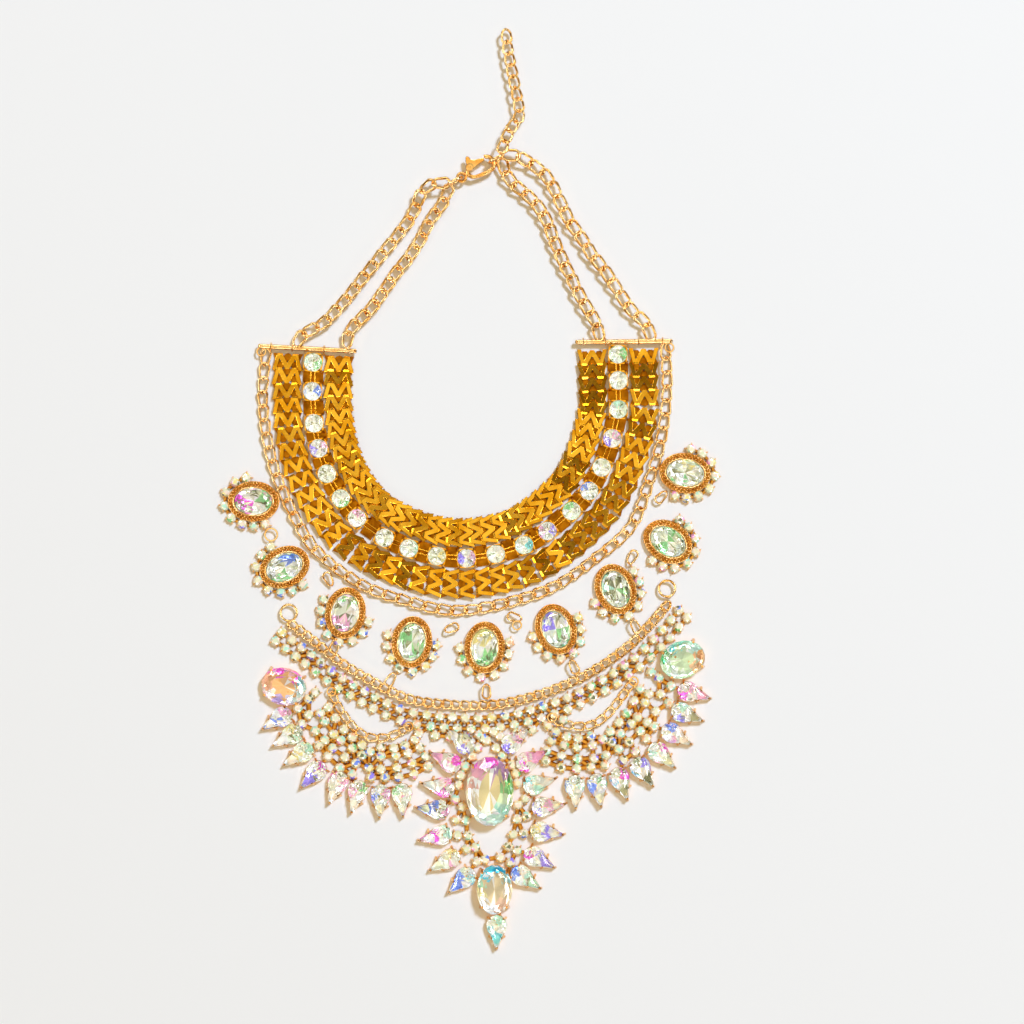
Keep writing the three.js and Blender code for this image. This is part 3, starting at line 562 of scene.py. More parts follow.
def cut_plate(name, outline, thick, edge):
    """A plate with its outline as (x, y) in millimetres: the corners of a disc are moved."""
    clear()
    bpy.ops.mesh.primitive_circle_add(vertices=len(outline), radius=5 * MM, fill_type="NGON")
    edit(bpy.context.object)
    sheet = bmesh.from_edit_mesh(bpy.context.object.data)
    for corner, (x, y) in zip(sheet.verts, outline):
        corner.co = (x * MM, y * MM, 0)
    bmesh.update_edit_mesh(bpy.context.object.data)
    face_out()
    bpy.ops.object.mode_set(mode="OBJECT")
    plate = bpy.context.object
    wall = plate.modifiers.new("thickness", "SOLIDIFY")
    wall.thickness = thick * MM
    wall.offset = 0
    soft = plate.modifiers.new("soft edge", "BEVEL")
    soft.width = edge * MM
    soft.segments = 2
    for modifier in ("thickness", "soft edge"):
        bpy.ops.object.modifier_apply(modifier=modifier)
    finish_model()
    return model_named(name)


def zigzag(half):
    """half goes from the middle over one peak and back, as (across, back). The other half is
    its mirror image."""
    other = [(-across, back) for across, back in reversed(half) if across]
    return [(-back, across) for across, back in half + other]


PEAKS = [(0.0, -0.5), (1.9, 2.9), (3.9, 2.9), (5.6, -3.2), (4.0, -3.2), (2.9, 1.0), (0.75, -2.9)]
FEET = [
    (0.0, 3.2), (1.3, 2.6), (2.7, -0.2), (4.1, 3.0), (5.5, 3.0), (3.5, -2.6), (1.9, -2.6),
    (0.0, 0.4),
]
LIP_START, LIP_DROP = -2.2, 0.62
tile = cut_plate("zigzag plate", zigzag(PEAKS), 0.8, 0.12)
# the raised edge of each peak is pressed over, so that it catches the light as a white line
edit(tile)
bpy.ops.mesh.select_all(action="SELECT")
bpy.ops.mesh.bisect(plane_co=(LIP_START * MM, 0, 0), plane_no=(1, 0, 0))
pick(lambda v: v.x < -2.5 * MM and v.z > 0)
bpy.ops.transform.translate(value=(0, 0, -LIP_DROP * MM))
bpy.ops.object.mode_set(mode="OBJECT")
tile.rotation_euler.y = math.radians(PLATE_TILT)
finish_model()
under_tile = cut_plate("folded back", zigzag(FEET), 0.6, 0.15)
print("plate faces:", len(tile.data.polygons))

# %% [markdown]
# The collar is two bands of these plates, one each side of the row of stones. Each plate
# covers the foot of the next, like roof tiles. Each is turned by a few degrees of its own,
# because a loose plate never lies quite like its neighbour: one catches the light and the
# next stays dull. Under each plate lies its folded back, seen through its openings and painted
# darker as the shade under the plate.

# %% The two bands of plates
RANKS = 43
# shares of the collar's length: where the ranks start, and how far they reach
RANKS_START, RANKS_REACH = 0.004, 0.985
# how high the middle of a plate and of its folded back lie, in millimetres
PLATE_LIFT, BACK_LIFT = 1.9, 0.5
CUP_SIDE = 7.2
COLLAR_HALF = 15.2
BAND_MIDDLE = (CUP_SIDE / 2 + 0.2 + COLLAR_HALF) / 2


def plate_band(name, side, node):
    rng = random.Random(name)
    upper, lower = [], []
    for i in range(RANKS):
        share = (i + 0.62) / RANKS * RANKS_REACH + RANKS_START
        middle = collar_line.beside(share, side * BAND_MIDDLE * MM)
        along = collar_line.at(share)[1]
        height = Vector((0, 0, (PLATE_LIFT + rng.uniform(-0.12, 0.12)) * MM))
        place = along_place(middle + height, along, rng.uniform(-6, 6))
        place = place @ turned(rng.uniform(-2.5, 2.5), "Z")
        place = place @ turned(rng.uniform(-5, 5), "Y")
        upper.append(copy_of(tile, place))
        under = along_place(middle + Vector((0, 0, BACK_LIFT * MM)), along)
        lower.append(copy_of(under_tile, under))
    band = wear(joined(upper, name), stamped_brass)
    back = wear(joined(lower, name + "_back"), shaded_back_brass)
    carried(band, node, finish="collar_gold")
    carried(back, finish="collar_gold")
    print(name, "ranks:", RANKS, "faces:", len(band.data.polygons))


plate_band("collar_plates_inner", -1, "collar_band_inner")
plate_band("collar_plates_outer", 1, "collar_band_outer")


# %% [markdown]
# The stones are lead-glass crystal with a rainbow coating, set over mirror foil. The eye sees
# the cut facets of the foil through a clear crown, so each stone is two pieces: a faceted
# metal bowl, whose facets each carry their own flash of colour, and a crown of real glass over
# it. The colour of a facet is a number kept on its face, because the coating shows a
# different colour on each facet.

# %% Stone materials
PALE = ("#FFFFFF", "#FFFFFF", "#FBFBF0", "#F2F6DC", "#E2EAC8", "#F0FAF0", "#FDF2E2")
# dark facets, painted as shade: a facet looks dark where it mirrors the dark round the stone
SHADE_FACETS = ("#8C8E62", "#AEB088", "#6E7450")
CREAM = ("#FFFDF0", "#FBF3CC", "#F1EFC2", "#FCE6D2", "#E9EFC8", "#F6EBC4")
FLASH = {
    "violet": "#9C8AFF", "magenta": "#F63CDC", "pink": "#FCB0DC", "aqua": "#7CE6EE",
    "blue": "#6F94FA", "green": "#8EDC90", "mint": "#BFF5DC", "yellow": "#FCEB96",
    "peach": "#FDC89C",
}
CUP_WALL = "#EDBB74"


def coated(name, **finish):
    made = new_material(name)
    flash = add_node(made, "ShaderNodeAttribute", attribute_name="flash").outputs["Color"]
    links = [("Base Color", flash)]
    if "Emission_Strength" in finish:
        links.append(("Emission Color", flash))
    return shade(made, links, **finish)


# the little glow stands for the light that a cut stone gathers from all sides and sends back
# up, most of which the renderer's few bounces lose
foil = coated(
    "rainbow foil behind crystal", Metallic=0.5, Roughness=0.07, Emission_Strength=0.22
)
opal = coated(
    "coated lead-glass, small cut",
    Metallic=0.1,
    Roughness=0.16,
    Coat_Weight=1.0,
    Coat_Roughness=0.03,
)
lead_glass = new_material("lead-glass crystal")
shade(
    lead_glass,
    [],
    Base_Color=(1, 1, 1, 1),
    Roughness=0.0,
    IOR=1.57,
    Transmission_Weight=1.0,
)
print("stone finishes:", foil.name, "|", opal.name, "|", lead_glass.name)

# %% [markdown]
# A cut stone is made as a cutter plans it: rings of corner points at the girdle, the shoulder
# and the table, with a skin stretched over them. Blender's convex hull is that skin. A ring is
# a circle, squeezed to an oval, and a pear has one more point, its tip.

# %% Cut stones
TIP_RADIUS = 0.12


def tip_corner(tip, height):
    """Adds the small corner at a pear stone's tip, in edit mode."""
    bpy.ops.mesh.select_all(action="DESELECT")
    bpy.ops.mesh.primitive_circle_add(
        vertices=3,
        radius=TIP_RADIUS * MM,
        location=((tip - TIP_RADIUS) * MM, 0, height * MM),
    )


def ring_of_points(count, length, width, height, turn, tip=None):
    """Adds a ring of points, in edit mode, with an optional tip on the +X side."""
    bpy.ops.mesh.select_all(action="DESELECT")
    bpy.ops.mesh.primitive_circle_add(
        vertices=count,
        radius=0.5 * MM,
        location=(0, 0, height * MM),
        rotation=(0, 0, math.radians(turn)),
    )
    bpy.ops.transform.resize(value=(length, width, 1), center_override=(0, 0, 0))
    if tip:
        tip_corner(tip, height)


def cut_crown(name, length, width, seat, height, sides, table=0.55, tip=None):
    """The clear top of a stone: girdle, shoulder and table rings under one skin."""
    clear()
    bpy.ops.mesh.primitive_circle_add(
        vertices=sides * 2, radius=0.5 * MM, location=(0, 0, seat * MM)
    )
    edit(bpy.context.object)
    pull_all(length, width)
    half = 180 / sides
    shoulder = 1 - (1 - table) * 0.45
    for count, share, level, turn in (
        (sides * 2, 1.0, 0.16, 0),
        (sides, shoulder, 0.72, half),
        (sides, table, 1.0, 0),
    ):
        reach = tip * share if tip else None
        ring_of_points(count, length * share, width * share, seat + height * level, turn, reach)
    if tip:
        tip_corner(tip, seat)
    bpy.ops.mesh.select_all(action="SELECT")
    bpy.ops.mesh.convex_hull()
    face_out()
    finish_model()
    return model_named(name)


def foil_bowl(name, length, width, rim, depth, sides, tip=None, wall=0.45):
    """A metal cup with a faceted hollow: a pulled disc, inset twice and sunk to a point."""
    narrow = min(length, width)
    edit(cylinder(sides * 2, 0.5, rim))
    pull_all(length, width)
    if tip:
        pick(lambda v: v.x > length / 2 * MM * 0.98)
        bpy.ops.transform.translate(value=((tip - length / 2) * MM, 0, 0))
    pick(lambda f: f.z > rim * MM * 0.99, "FACE")
    bpy.ops.mesh.inset(thickness=wall * MM)
    bpy.ops.mesh.inset(thickness=narrow * 0.13 * MM, depth=-depth * 0.45 * MM)
    bpy.ops.transform.rotate(
        value=math.radians(90 / sides), orient_axis="Z", center_override=(0, 0, 0)
    )
    bpy.ops.mesh.inset(thickness=narrow * 0.12 * MM, depth=-depth * 0.2 * MM)
    bpy.ops.transform.vertex_random(offset=depth * 0.16 * MM, seed=sides)
    bpy.ops.mesh.poke(offset=-depth * 0.35 * MM)
    bpy.ops.mesh.select_all(action="SELECT")
    bpy.ops.mesh.quads_convert_to_tris()
    face_out()
    finish_model()
    return model_named(name)


def paint(piece, colours):
    """Keeps one colour on each face. The outer wall of a bowl, which stands upright or looks
    down, is the plain metal of its cup."""
    mesh = piece.data
    colours = [
        code if face.normal.z > 0.12 else CUP_WALL
        for code, face in zip(colours, mesh.polygons)
    ]
    layer = mesh.attributes.get("flash") or mesh.attributes.new("flash", "FLOAT_COLOR", "FACE")
    layer.data.foreach_set("color", [v for code in colours for v in hex_colour(code)])


def flashes(piece, rng, first, second="", deep=0.12, wide=60, pale=PALE):
    """Pale facets, with one flash on the side that faces a chance direction and another
    opposite, and a few facets painted dark, as shade in the cut."""
    toward = math.degrees(rng.uniform(-math.pi, math.pi))
    middle = sum((f.center for f in piece.data.polygons), Vector()) / len(piece.data.polygons)
    colours = []
    for face in piece.data.polygons:
        out = face.center - middle
        off = abs((math.degrees(math.atan2(out.y, out.x)) - toward + 180) % 360 - 180)
        colour = rng.choice(pale)
        if rng.random() < deep:
            colour = rng.choice(SHADE_FACETS)
        elif off < wide and first and rng.random() < 0.7:
            colour = FLASH[first]
        elif off > 180 - wide and second and rng.random() < 0.5:
            colour = FLASH[second]
        colours.append(colour)
    paint(piece, colours)


def with_claws(cup, name, radius, height, thick, lean):
    """A cup with four small wire claws that lean in over the edge of its stone."""
    made = []
    for i in range(4):
        angle = 2 * math.pi * (i + 0.5) / 4
        place = Vector((math.cos(angle) * radius, math.sin(angle) * radius, height / 2)) * MM
        over = (lean * math.sin(angle), -lean * math.cos(angle), 0)
        made.append(claw(5, thick / 2, thick * 0.42, height, place, over))
    joined([cup, joined(made, name + " claws")], name)
    return model_named(name)


# %% [markdown]
# Down the middle of the collar runs a row of 21 square-set stones, each a round stone in a
# square cup whose corners are bent over as claws. Short bars join the cups.

# %% The square cups and their stones
def square_cup(name, side, height):
    clear()
    bpy.ops.mesh.primitive_cube_add(size=side * MM, location=(0, 0, height / 2 * MM))
    edit(bpy.context.object)
    pull_all(1, 1, height / side, (0, 0, height / 2 * MM))
    pick(lambda v: True)
    bpy.ops.mesh.select_mode(type="EDGE")
    mesh = bmesh.from_edit_mesh(bpy.context.object.data)
    for e in mesh.edges:
        a, b = e.verts
        e.select_set(abs(a.co.z - b.co.z) > height / 2 * MM)
    bmesh.update_edit_mesh(bpy.context.object.data)
    bpy.ops.mesh.bevel(offset=1.3 * MM, segments=2)
    pick(lambda f: f.z > height * MM * 0.99, "FACE")
    bpy.ops.mesh.inset(thickness=0.5 * MM)
    bpy.ops.mesh.inset(thickness=0.2 * MM, depth=-height * 0.75 * MM)
    return with_claws(finish_model(), name, side * 0.62, height * 1.5, 1.0, 0.3)


cup = wear(square_cup("square cup", 7.0, 2.8), stamped_brass)
chaton_crown = cut_crown("chaton crown", 6.9, 6.9, 3.0, 1.7, 8, 0.52)
chaton_bowl = foil_bowl("chaton bowl", 6.7, 6.7, 2.9, 1.9, 8)
print("chaton faces:", len(chaton_crown.data.polygons), len(chaton_bowl.data.polygons))

CHATON_SHARES = [
    0.018, 0.067, 0.121, 0.164, 0.209, 0.257, 0.300, 0.357, 0.402, 0.451, 0.501, 0.551, 0.601,
    0.647, 0.700, 0.745, 0.790, 0.842, 0.892, 0.941, 0.985,
]
CHATON_FLASH = [
    "green", "blue", "", "violet", "", "green", "pink", "", "mint", "yellow", "violet", "",
    "aqua", "violet", "green", "blue", "", "violet", "mint", "", "green",
]
# a tie is two thin wires side by side; it is modelled 1 mm long and drawn out to its gap
TIE_WIRE = 0.6
wires = []
for side in (-1, 1):
    place = (0, side * 0.75 * MM, 1.9 * MM)
    wires.append(cylinder(8, TIE_WIRE / 2, 1.0, place, (0, 90, 0)))
    settle()
edit(joined(wires, "tie"))
pick(lambda f: abs(abs(f.x) - 0.5 * MM) < 1e-6, "FACE")
bpy.ops.mesh.inset(thickness=0.1 * MM)
finish_model(50)
tie = wear(model_named("tie"), stamped_brass)

# the folded plate under a tie: a grid with its middle line lifted to a ridge
clear()
bpy.ops.mesh.primitive_grid_add(x_subdivisions=2, y_subdivisions=2, size=1.0 * MM)
edit(bpy.context.object)
pull_all(5.0, 7.6)
pick(lambda v: abs(v.y) < 0.1 * MM)
bpy.ops.transform.translate(value=(0, 0, 0.6 * MM))
bpy.ops.mesh.select_all(action="SELECT")
bpy.ops.transform.translate(value=(0, 0, 0.5 * MM))
bpy.ops.object.mode_set(mode="OBJECT")
wall = bpy.context.object.modifiers.new("thickness", "SOLIDIFY")
wall.thickness = 0.4 * MM
bpy.ops.object.modifier_apply(modifier="thickness")
finish_model()
# the backing is painted darker, as the shade between the cups
ridge = wear(model_named("ridge"), shaded_back_brass)

rng = random.Random(21)
cups, crowns, bowls = [], [], []
last = None
for share, mood in zip(CHATON_SHARES, CHATON_FLASH):
    point, along = collar_line.at(share)
    place = flat_place(point, heading(along) + rng.uniform(-5, 5))
    cups.append(copy_of(cup, place))
    crowns.append(copy_of(chaton_crown, place))
    bowls.append(copy_of(chaton_bowl, place))
    flashes(bowls[-1], rng, mood, "pink" if mood == "violet" else "", 0.14, 50)
    if last is not None:
        span = point - last
        gap_place = flat_place((point + last) / 2, heading(span))
        cups.append(copy_of(tie, gap_place @ Matrix.Diagonal((span.length / MM - 5, 1, 1, 1))))
        cups.append(copy_of(ridge, gap_place))
    last = point
carried(joined(cups, "collar_cups"), "collar_stone_row", finish="collar_gold")
carried(wear(joined(crowns, "collar_stone_crowns"), lead_glass), finish="crystal")
carried(wear(joined(bowls, "collar_stone_foils"), foil), finish="crystal")


# %% [markdown]
# Around the collar runs a curb chain of open links, held by the medallions. Its route keeps
# the collar's own line at a distance that was read off the photograph at a few places.

# %% Border chain
BORDER_SPACE = [
    (0.0, 0.3), (0.08, 1.2), (0.16, 0.6), (0.22, 0.4), (0.29, 1.9), (0.36, 2.0), (0.42, 1.4),
    (0.48, 2.1), (0.54, 1.3), (0.61, 1.4), (0.68, 1.8), (0.74, 3.0), (0.8, 1.0), (0.86, 0.4),
    (0.93, 0.8), (1.0, 0.3),
]
CHAIN_HALF = 2.0


def border_offset(share):
    """From the collar's middle line to the middle of the border chain, in millimetres."""
    for (low, a), (high, b) in zip(BORDER_SPACE, BORDER_SPACE[1:]):
        if share <= high:
            return COLLAR_HALF + a + (b - a) * (share - low) / (high - low) + CHAIN_HALF
    return COLLAR_HALF + BORDER_SPACE[-1][1] + CHAIN_HALF


border_path = Route(
    [
        collar_line.beside(share, border_offset(share) * MM) + Vector((0, 0, 2.0 * MM))
        for share, space in BORDER_SPACE
    ]
)
carried(chain("border_links", border_link, border_path, 5.2, 20), "border_chain")

# %% [markdown]
# Each medallion is an oval stone in a cup, with two rings of rope round it that lean opposite
# ways, and eight small stones in claw cups round its outer half. A rope is a ring of leaning
# beads, because from above that is all that a twist of two wires shows. It is modelled once.

# %% Parts of a medallion
STONE_LONG, STONE_WIDE = 14.0, 10.0
BEZEL_LONG, BEZEL_WIDE = 18.8, 14.8


def oval_spot(length, width, angle):
    return Vector((math.cos(angle) * length / 2 * MM, math.sin(angle) * width / 2 * MM, 0))


def rope(name, length, width, beads, lean, height, thick):
    """Leaning beads round an oval."""
    clear()
    bpy.ops.mesh.primitive_ico_sphere_add(subdivisions=1, radius=0.5 * MM)
    bead = bpy.context.object
    bead.scale = (thick * 0.46, thick * 1.6, thick * 1.15)
    settle()
    bpy.ops.object.shade_smooth()
    made = []
    # the beads keep an even pitch along the oval, found by walking it in small steps
    dots = [oval_spot(length, width, 2 * math.pi * i / 720) for i in range(721)]
    walked = [0.0]
    for a, b in zip(dots, dots[1:]):
        walked.append(walked[-1] + (b - a).length)
    step = 0
    for i in range(beads):
        while walked[step] < walked[-1] * i / beads:
            step += 1
        along = (dots[min(step + 1, 720)] - dots[max(step - 1, 0)]).normalized()
        point = dots[step] + Vector((0, 0, height * MM))
        made.append(copy_of(bead, flat_place(point, heading(along) + lean)))
    bpy.data.objects.remove(bead)
    joined(made, name)
    return model_named(name)


def oval_ring(name, length, width, wire, height, around=40, sides=6):
    """A wire ring pulled to an oval."""
    edit(torus(around, sides, width / 2, wire, (0, 0, height * MM)))
    pull_all(length / width, 1)
    finish_model(60)
    return model_named(name)


def dish(name, length, width, height, lip, sides=28):
    """A flat cast dish with a raised lip: a pulled disc, inset and sunk."""
    edit(cylinder(sides, 0.5, height))
    pull_all(length, width)
    pick(lambda f: f.z > height * MM * 0.99, "FACE")
    bpy.ops.mesh.inset(thickness=lip * MM)
    bpy.ops.mesh.inset(thickness=0.1 * MM, depth=-height * 0.5 * MM)
    finish_model(40)
    return model_named(name)


rope_outer = wear(rope("rope outer", 17.4, 13.4, 36, 32, 2.1, 1.3), cast_zinc)
rope_inner = wear(rope("rope inner", 15.5, 11.5, 34, 148, 2.7, 1.1), cast_zinc)
rim = wear(oval_ring("stone rim", 14.5, 10.5, 0.6, 3.4), drawn_wire)
outer_rim = wear(oval_ring("outer rim", 18.6, 14.6, 0.45, 1.9), cast_zinc)
# the dish under the ropes is painted darker, as the shade between them
plinth = wear(dish("medallion dish", 18.2, 14.2, 1.4, 1.9), shaded_zinc)
medal_bowl = foil_bowl("medallion bowl", 14.2, 10.2, 3.2, 2.2, 8)
medal_crown = cut_crown("medallion crown", STONE_LONG, STONE_WIDE, 3.25, 2.6, 8, 0.56)


# %% [markdown]
# Several hundred small stones sit in claw cups soldered side by side. From above one sees the
# stone, four tiny claw tips and the bars between the cups. One stone, one cup and one bar are
# modelled with very few faces, because they are repeated so often. A row is then made from its
# list of spots: a cup and a stone on each, and a bar wherever two cups are close.

# %% A small stone in its claw cup
def small_cup(name, size, height):
    edit(cylinder(8, size / 2, height))
    pick(lambda f: f.z < 1e-6, "FACE")
    bpy.ops.transform.resize(value=(0.7, 0.7, 1), center_override=(0, 0, 0))
    return with_claws(finish_model(), name, size * 0.53, height * 1.75, 0.6, 0.2)


SMALL = 3.8
small_claw_cup = wear(small_cup("small claw cup", SMALL, 1.3), cast_zinc)
small_stone = wear(cut_crown("small stone", SMALL, SMALL, 1.25, 1.3, 6, 0.52), opal)
# a cast bar, flat underneath, modelled 1 mm long and drawn out to its length; its finish is
# painted darker, as the shade between the cups
edit(cylinder(6, 0.5, 1.0, (0, 0, 0), (0, 90, 0)))
pick(lambda v: v.z < -0.3 * MM)
bpy.ops.transform.resize(value=(1, 1.2, 0.6), center_override=(0, 0, 0))
finish_model(50)
small_bar = wear(model_named("small bar"), shaded_zinc)
print("faces of a small stone:", len(small_stone.data.polygons))
print("faces of its cup:", len(small_claw_cup.data.polygons))


def bar_between(a, b, thick=1.3, lift=0.6):
    """A bar from one point to another."""
    span = b - a
    place = along_place((a + b) / 2 + Vector((0, 0, lift * MM)), span.normalized())
    stretch = Matrix.Diagonal((span.length / MM, thick, thick * 0.8, 1))
    return copy_of(small_bar, place @ stretch)


# three in ten small stones show no flash of colour
SMALL_FLASH = ("", "", "", "yellow", "mint", "green", "blue", "violet", "pink", "peach")


def small_row(spots, rng, bars, reach=5.4, size=1.0, thick=1.3):
    """Small stones at their spots, and bars between the cups that are close together."""
    cups, stones = [], []
    for point in spots:
        place = flat_place(point, rng.uniform(0, 90), size)
        cups.append(copy_of(small_claw_cup, place))
        stones.append(copy_of(small_stone, place))
        first = rng.choice(SMALL_FLASH)
        flashes(stones[-1], rng, first, rng.choice(("", "yellow", "mint")), 0.03, 45, CREAM)
    for i, a in enumerate(spots):
        for b in spots[i + 1 :]:
            if (b - a).length < reach * MM:
                bars.append(bar_between(a, b, thick))
    return cups, stones


# %% [markdown]
# The nine medallions are the same casting with another stone colour, so each is put together
# from the parts above and set just outside the border chain. Small stones sit on short arms
# round the outer half only, where the photograph shows them.

# %% Nine medallions
MEDALLIONS = [
    (0.205, 0.3, 0, "magenta"), (0.283, 1.8, 25, "blue"), (0.355, 0.9, 80, "pink"),
    (0.44, 2.7, 82, "green"), (0.515, 3.2, 87, "yellow"), (0.595, 3.2, 110, "violet"),
    (0.673, 2.3, 112, "mint"), (0.748, 3.2, 147, "green"), (0.827, 0.3, 172, "yellow"),
]
# small stones round the outer half: how many, over how many degrees, and how far outside it
MEDAL_STONES, STONES_ARC, STONES_OUT = 8, 190, 1.7


def oval_reach(length, width, angle):
    return length * width / 2 / math.hypot(width * math.cos(angle), length * math.sin(angle))


medal_centres = []
rng = random.Random(9)
for number, (share, space, turn, mood) in enumerate(MEDALLIONS, 1):
    point, along = collar_line.at(share)
    outward = Vector((along.y, -along.x, 0))
    facing = math.atan2(outward.y, outward.x) - math.radians(turn)
    reach = border_offset(share) + CHAIN_HALF + space + oval_reach(BEZEL_LONG, BEZEL_WIDE, facing)
    centre = collar_line.beside(share, reach * MM)
    medal_centres.append(centre)
    place = flat_place(centre, turn)
    spots = []
    for i in range(MEDAL_STONES):
        aside = -STONES_ARC / 2 + STONES_ARC * i / (MEDAL_STONES - 1)
        angle = facing + math.radians(aside)
        far = (oval_reach(BEZEL_LONG, BEZEL_WIDE, angle) + STONES_OUT) * MM
        spots.append(place @ Vector((math.cos(angle) * far, math.sin(angle) * far, 0)))
    bars = [bar_between(centre.lerp(s, 0.7), s, 1.6) for s in spots]
    cups, stones = small_row(spots, rng, bars)
    metal = [copy_of(m, place) for m in (rope_outer, rope_inner, rim, outer_rim, plinth)]
    setting = joined(metal + cups + bars, f"medallion_frame_{number}")
    carried(setting, f"medallion_setting_{number}", finish="setting_gold")
    bowl = copy_of(medal_bowl, place)
    flashes(bowl, rng, mood, "green", 0.2, 45)
    crown = wear(joined([copy_of(medal_crown, place)], f"medallion_crown_{number}"), lead_glass)
    carried(crown, f"medallion_stone_{number}", finish="crystal")
    carried(wear(joined([bowl], f"medallion_foil_{number}"), foil), finish="crystal")
    carried(joined(stones, f"medallion_small_stones_{number}"), finish="crystal")
print("medallions:", len(medal_centres))

# %% [markdown]
# Under the medallions hangs the bib: a dense curb chain with rows of small stones below it,
# joined by thin bars like a ladder.

# %% Bib chain and its rows
bib_line = route(
    (-66.6, -48.7), (-57.4, -55.7), (-48.1, -63.1), (-35.9, -70.5), (-22.9, -76.8), (-7.4, -79.0),
    (9.2, -79.0), (27.8, -74.6), (44.4, -67.2), (58.5, -57.5), (67.3, -48.7), (73.6, -41.3),
    z=2.1,
)
carried(chain("bib_links", bib_link, bib_line, 3.45, 22), "bib_chain")
rng = random.Random(33)
bars, spots = [], []
# for each row: millimetres from the chain, first and last share of its length, and the pitch
BIB_ROWS = ((4.7, 0.0, 1.0, 4.6), (8.7, 0.0, 1.0, 4.75), (11.9, 0.36, 0.66, 5.6))
for offset, first, last, pitch in BIB_ROWS:
    count = round(bib_line.length / MM * (last - first) / pitch)
    for i in range(count + 1):
        point = bib_line.beside(first + (last - first) * i / count, offset * MM)
        spots.append(Vector((point.x, point.y, 0)))
cups, stones = small_row(spots, rng, bars, 5.9, thick=1.6)
carried(joined(cups + bars, "bib_rows"), "bib_band", finish="setting_gold")
carried(joined(stones, "bib_small_stones"), finish="crystal")
print("bib stones:", len(spots))

# %% [markdown]
# A fan hangs from each side of the bib: a swag of curb chain, spokes of small stones below it,
# and a fringe of eight pear stones. The spots of the small stones were read off the photograph
# for the left fan. The right fan is its mirror image, turned to where the right one lies.

# %% Swags
swag_lines = {
    "left": route(
        (-51.0, -74.6), (-48.8, -79.4), (-45.6, -84.2), (-41.8, -88.4), (-37.0, -91.0),
        (-31.5, -91.2), (-26.6, -89.6), (-22.4, -87.0), z=1.7,
    ),
    "right": route(
        (60.5, -70.5), (57.6, -74.2), (54.2, -78.8), (50.0, -83.4), (45.2, -86.4), (39.2, -87.0),
        (34.4, -86.0), (30.4, -83.8), z=1.7,
    ),
}
for side, line in swag_lines.items():
    carried(chain(f"swag_links_{side}", swag_link, line, 4.0, 18), f"swag_chain_{side}")

# %% [markdown]
# The spikes of the fans and of the pendant are pear stones in open settings: a shallow metal
# back with a claw at the tip and two on each flank. Each stone points away from the line it
# stands on, and its round end goes under the small stones.

# %% Pear stones
PEAR_LONG, PEAR_WIDE = 13.2, 7.8
pear_tip = PEAR_LONG - PEAR_WIDE / 2
pear_bowl = foil_bowl("pear bowl", PEAR_WIDE - 0.3, PEAR_WIDE - 0.3, 2.5, 1.7, 6, pear_tip - 0.3)
pear_crown = cut_crown("pear crown", PEAR_WIDE, PEAR_WIDE, 2.6, 2.4, 6, 0.5, pear_tip)
edit(cylinder(12, PEAR_WIDE / 2 - 0.3, 0.7))
pick(lambda v: v.x > PEAR_WIDE / 2 * MM * 0.88)
bpy.ops.transform.translate(value=((pear_tip - PEAR_WIDE / 2) * MM, 0, 0))
pear_parts = [finish_model()]
# one claw at the tip and two on each flank, leaning inward over the stone
CLAW_TALL, CLAW_LEAN = 3.6, 0.3
PEAR_CLAWS = ((pear_tip - 0.6, 0.0), (4.6, 2.3), (4.6, -2.3), (-2.4, 2.9), (-2.4, -2.9))
for x, y in PEAR_CLAWS:
    place = (x * MM, y * MM, CLAW_TALL / 2 * MM)
    over = (math.copysign(CLAW_LEAN, y), 0, 0) if y else (0, -CLAW_LEAN, 0)
    pear_parts.append(claw(6, 0.5, 0.42, CLAW_TALL, place, over))
joined(pear_parts, "pear back")
pear_back = wear(model_named("pear back"), cast_zinc)
PEAR_FLASH = ("magenta", "pink", "green", "aqua", "violet", "yellow", "pink", "mint", "blue")


def pears(line_points, count, outward):
    """Root places and headings of pears side by side, tips pointing away from the line."""
    line = route(*line_points)
    places = []
    for i in range(count):
        point, along = line.at(i / (count - 1))
        away = Vector((along.y, -along.x, 0)) * outward
        places.append(flat_place(point + away * PEAR_WIDE / 2 * MM, heading(away)))
    return places


def set_pear(place, rng, backs, bowls, crowns):
    backs.append(copy_of(pear_back, place))
    bowls.append(copy_of(pear_bowl, place))
    crowns.append(copy_of(pear_crown, place))
    flashes(bowls[-1], rng, rng.choice(PEAR_FLASH), rng.choice(PEAR_FLASH), 0.06, 48)


# %% [markdown]
# A fan is a net of small stones with a fringe of eight pears. The stones follow no even grid,
# so their places are read from the photograph, in its own pixels, and turned into real
# distances. The right fan is the left one's mirror image, turned to meet its own pears.

# %% Fans
FAN_LEFT_SPOTS = [
    (315.7, 692), (309, 698.6), (298, 708), (309, 714.6), (320.5, 713), (328.5, 707), (302, 724),
    (315.7, 730.6), (325, 721), (335.7, 718), (319, 745), (325, 740), (334, 734), (344, 729),
    (328, 756), (333, 748), (341, 740), (352.6, 737), (340, 767.5), (345, 757), (352.6, 748),
    (362, 745), (352.6, 774), (356, 763), (362, 755), (370, 751.5), (371, 777), (369, 767.5),
    (381, 769), (381, 756), (381, 747), (385, 777), (397, 767.5), (396, 756), (394, 748),
    (399, 777), (414, 774), (412, 763), (408, 753), (405, 745), (426, 756), (428, 766),
    (415, 739), (420, 747),
]
FAN_LINES = {
    "left": [
        (-65.8, -81.4), (-62.4, -87.0), (-58.1, -94.2), (-53.3, -100.8), (-46.3, -104.2),
        (-40.7, -106.7), (-33.3, -108.2), (-25.2, -107.9),
    ],
    "right": [
        (76.6, -73.0), (74.2, -80.6), (70.8, -87.4), (67.0, -93.1), (60.7, -98.6), (53.7, -102.3),
        (45.5, -104.5), (38.5, -104.9),
    ],
}


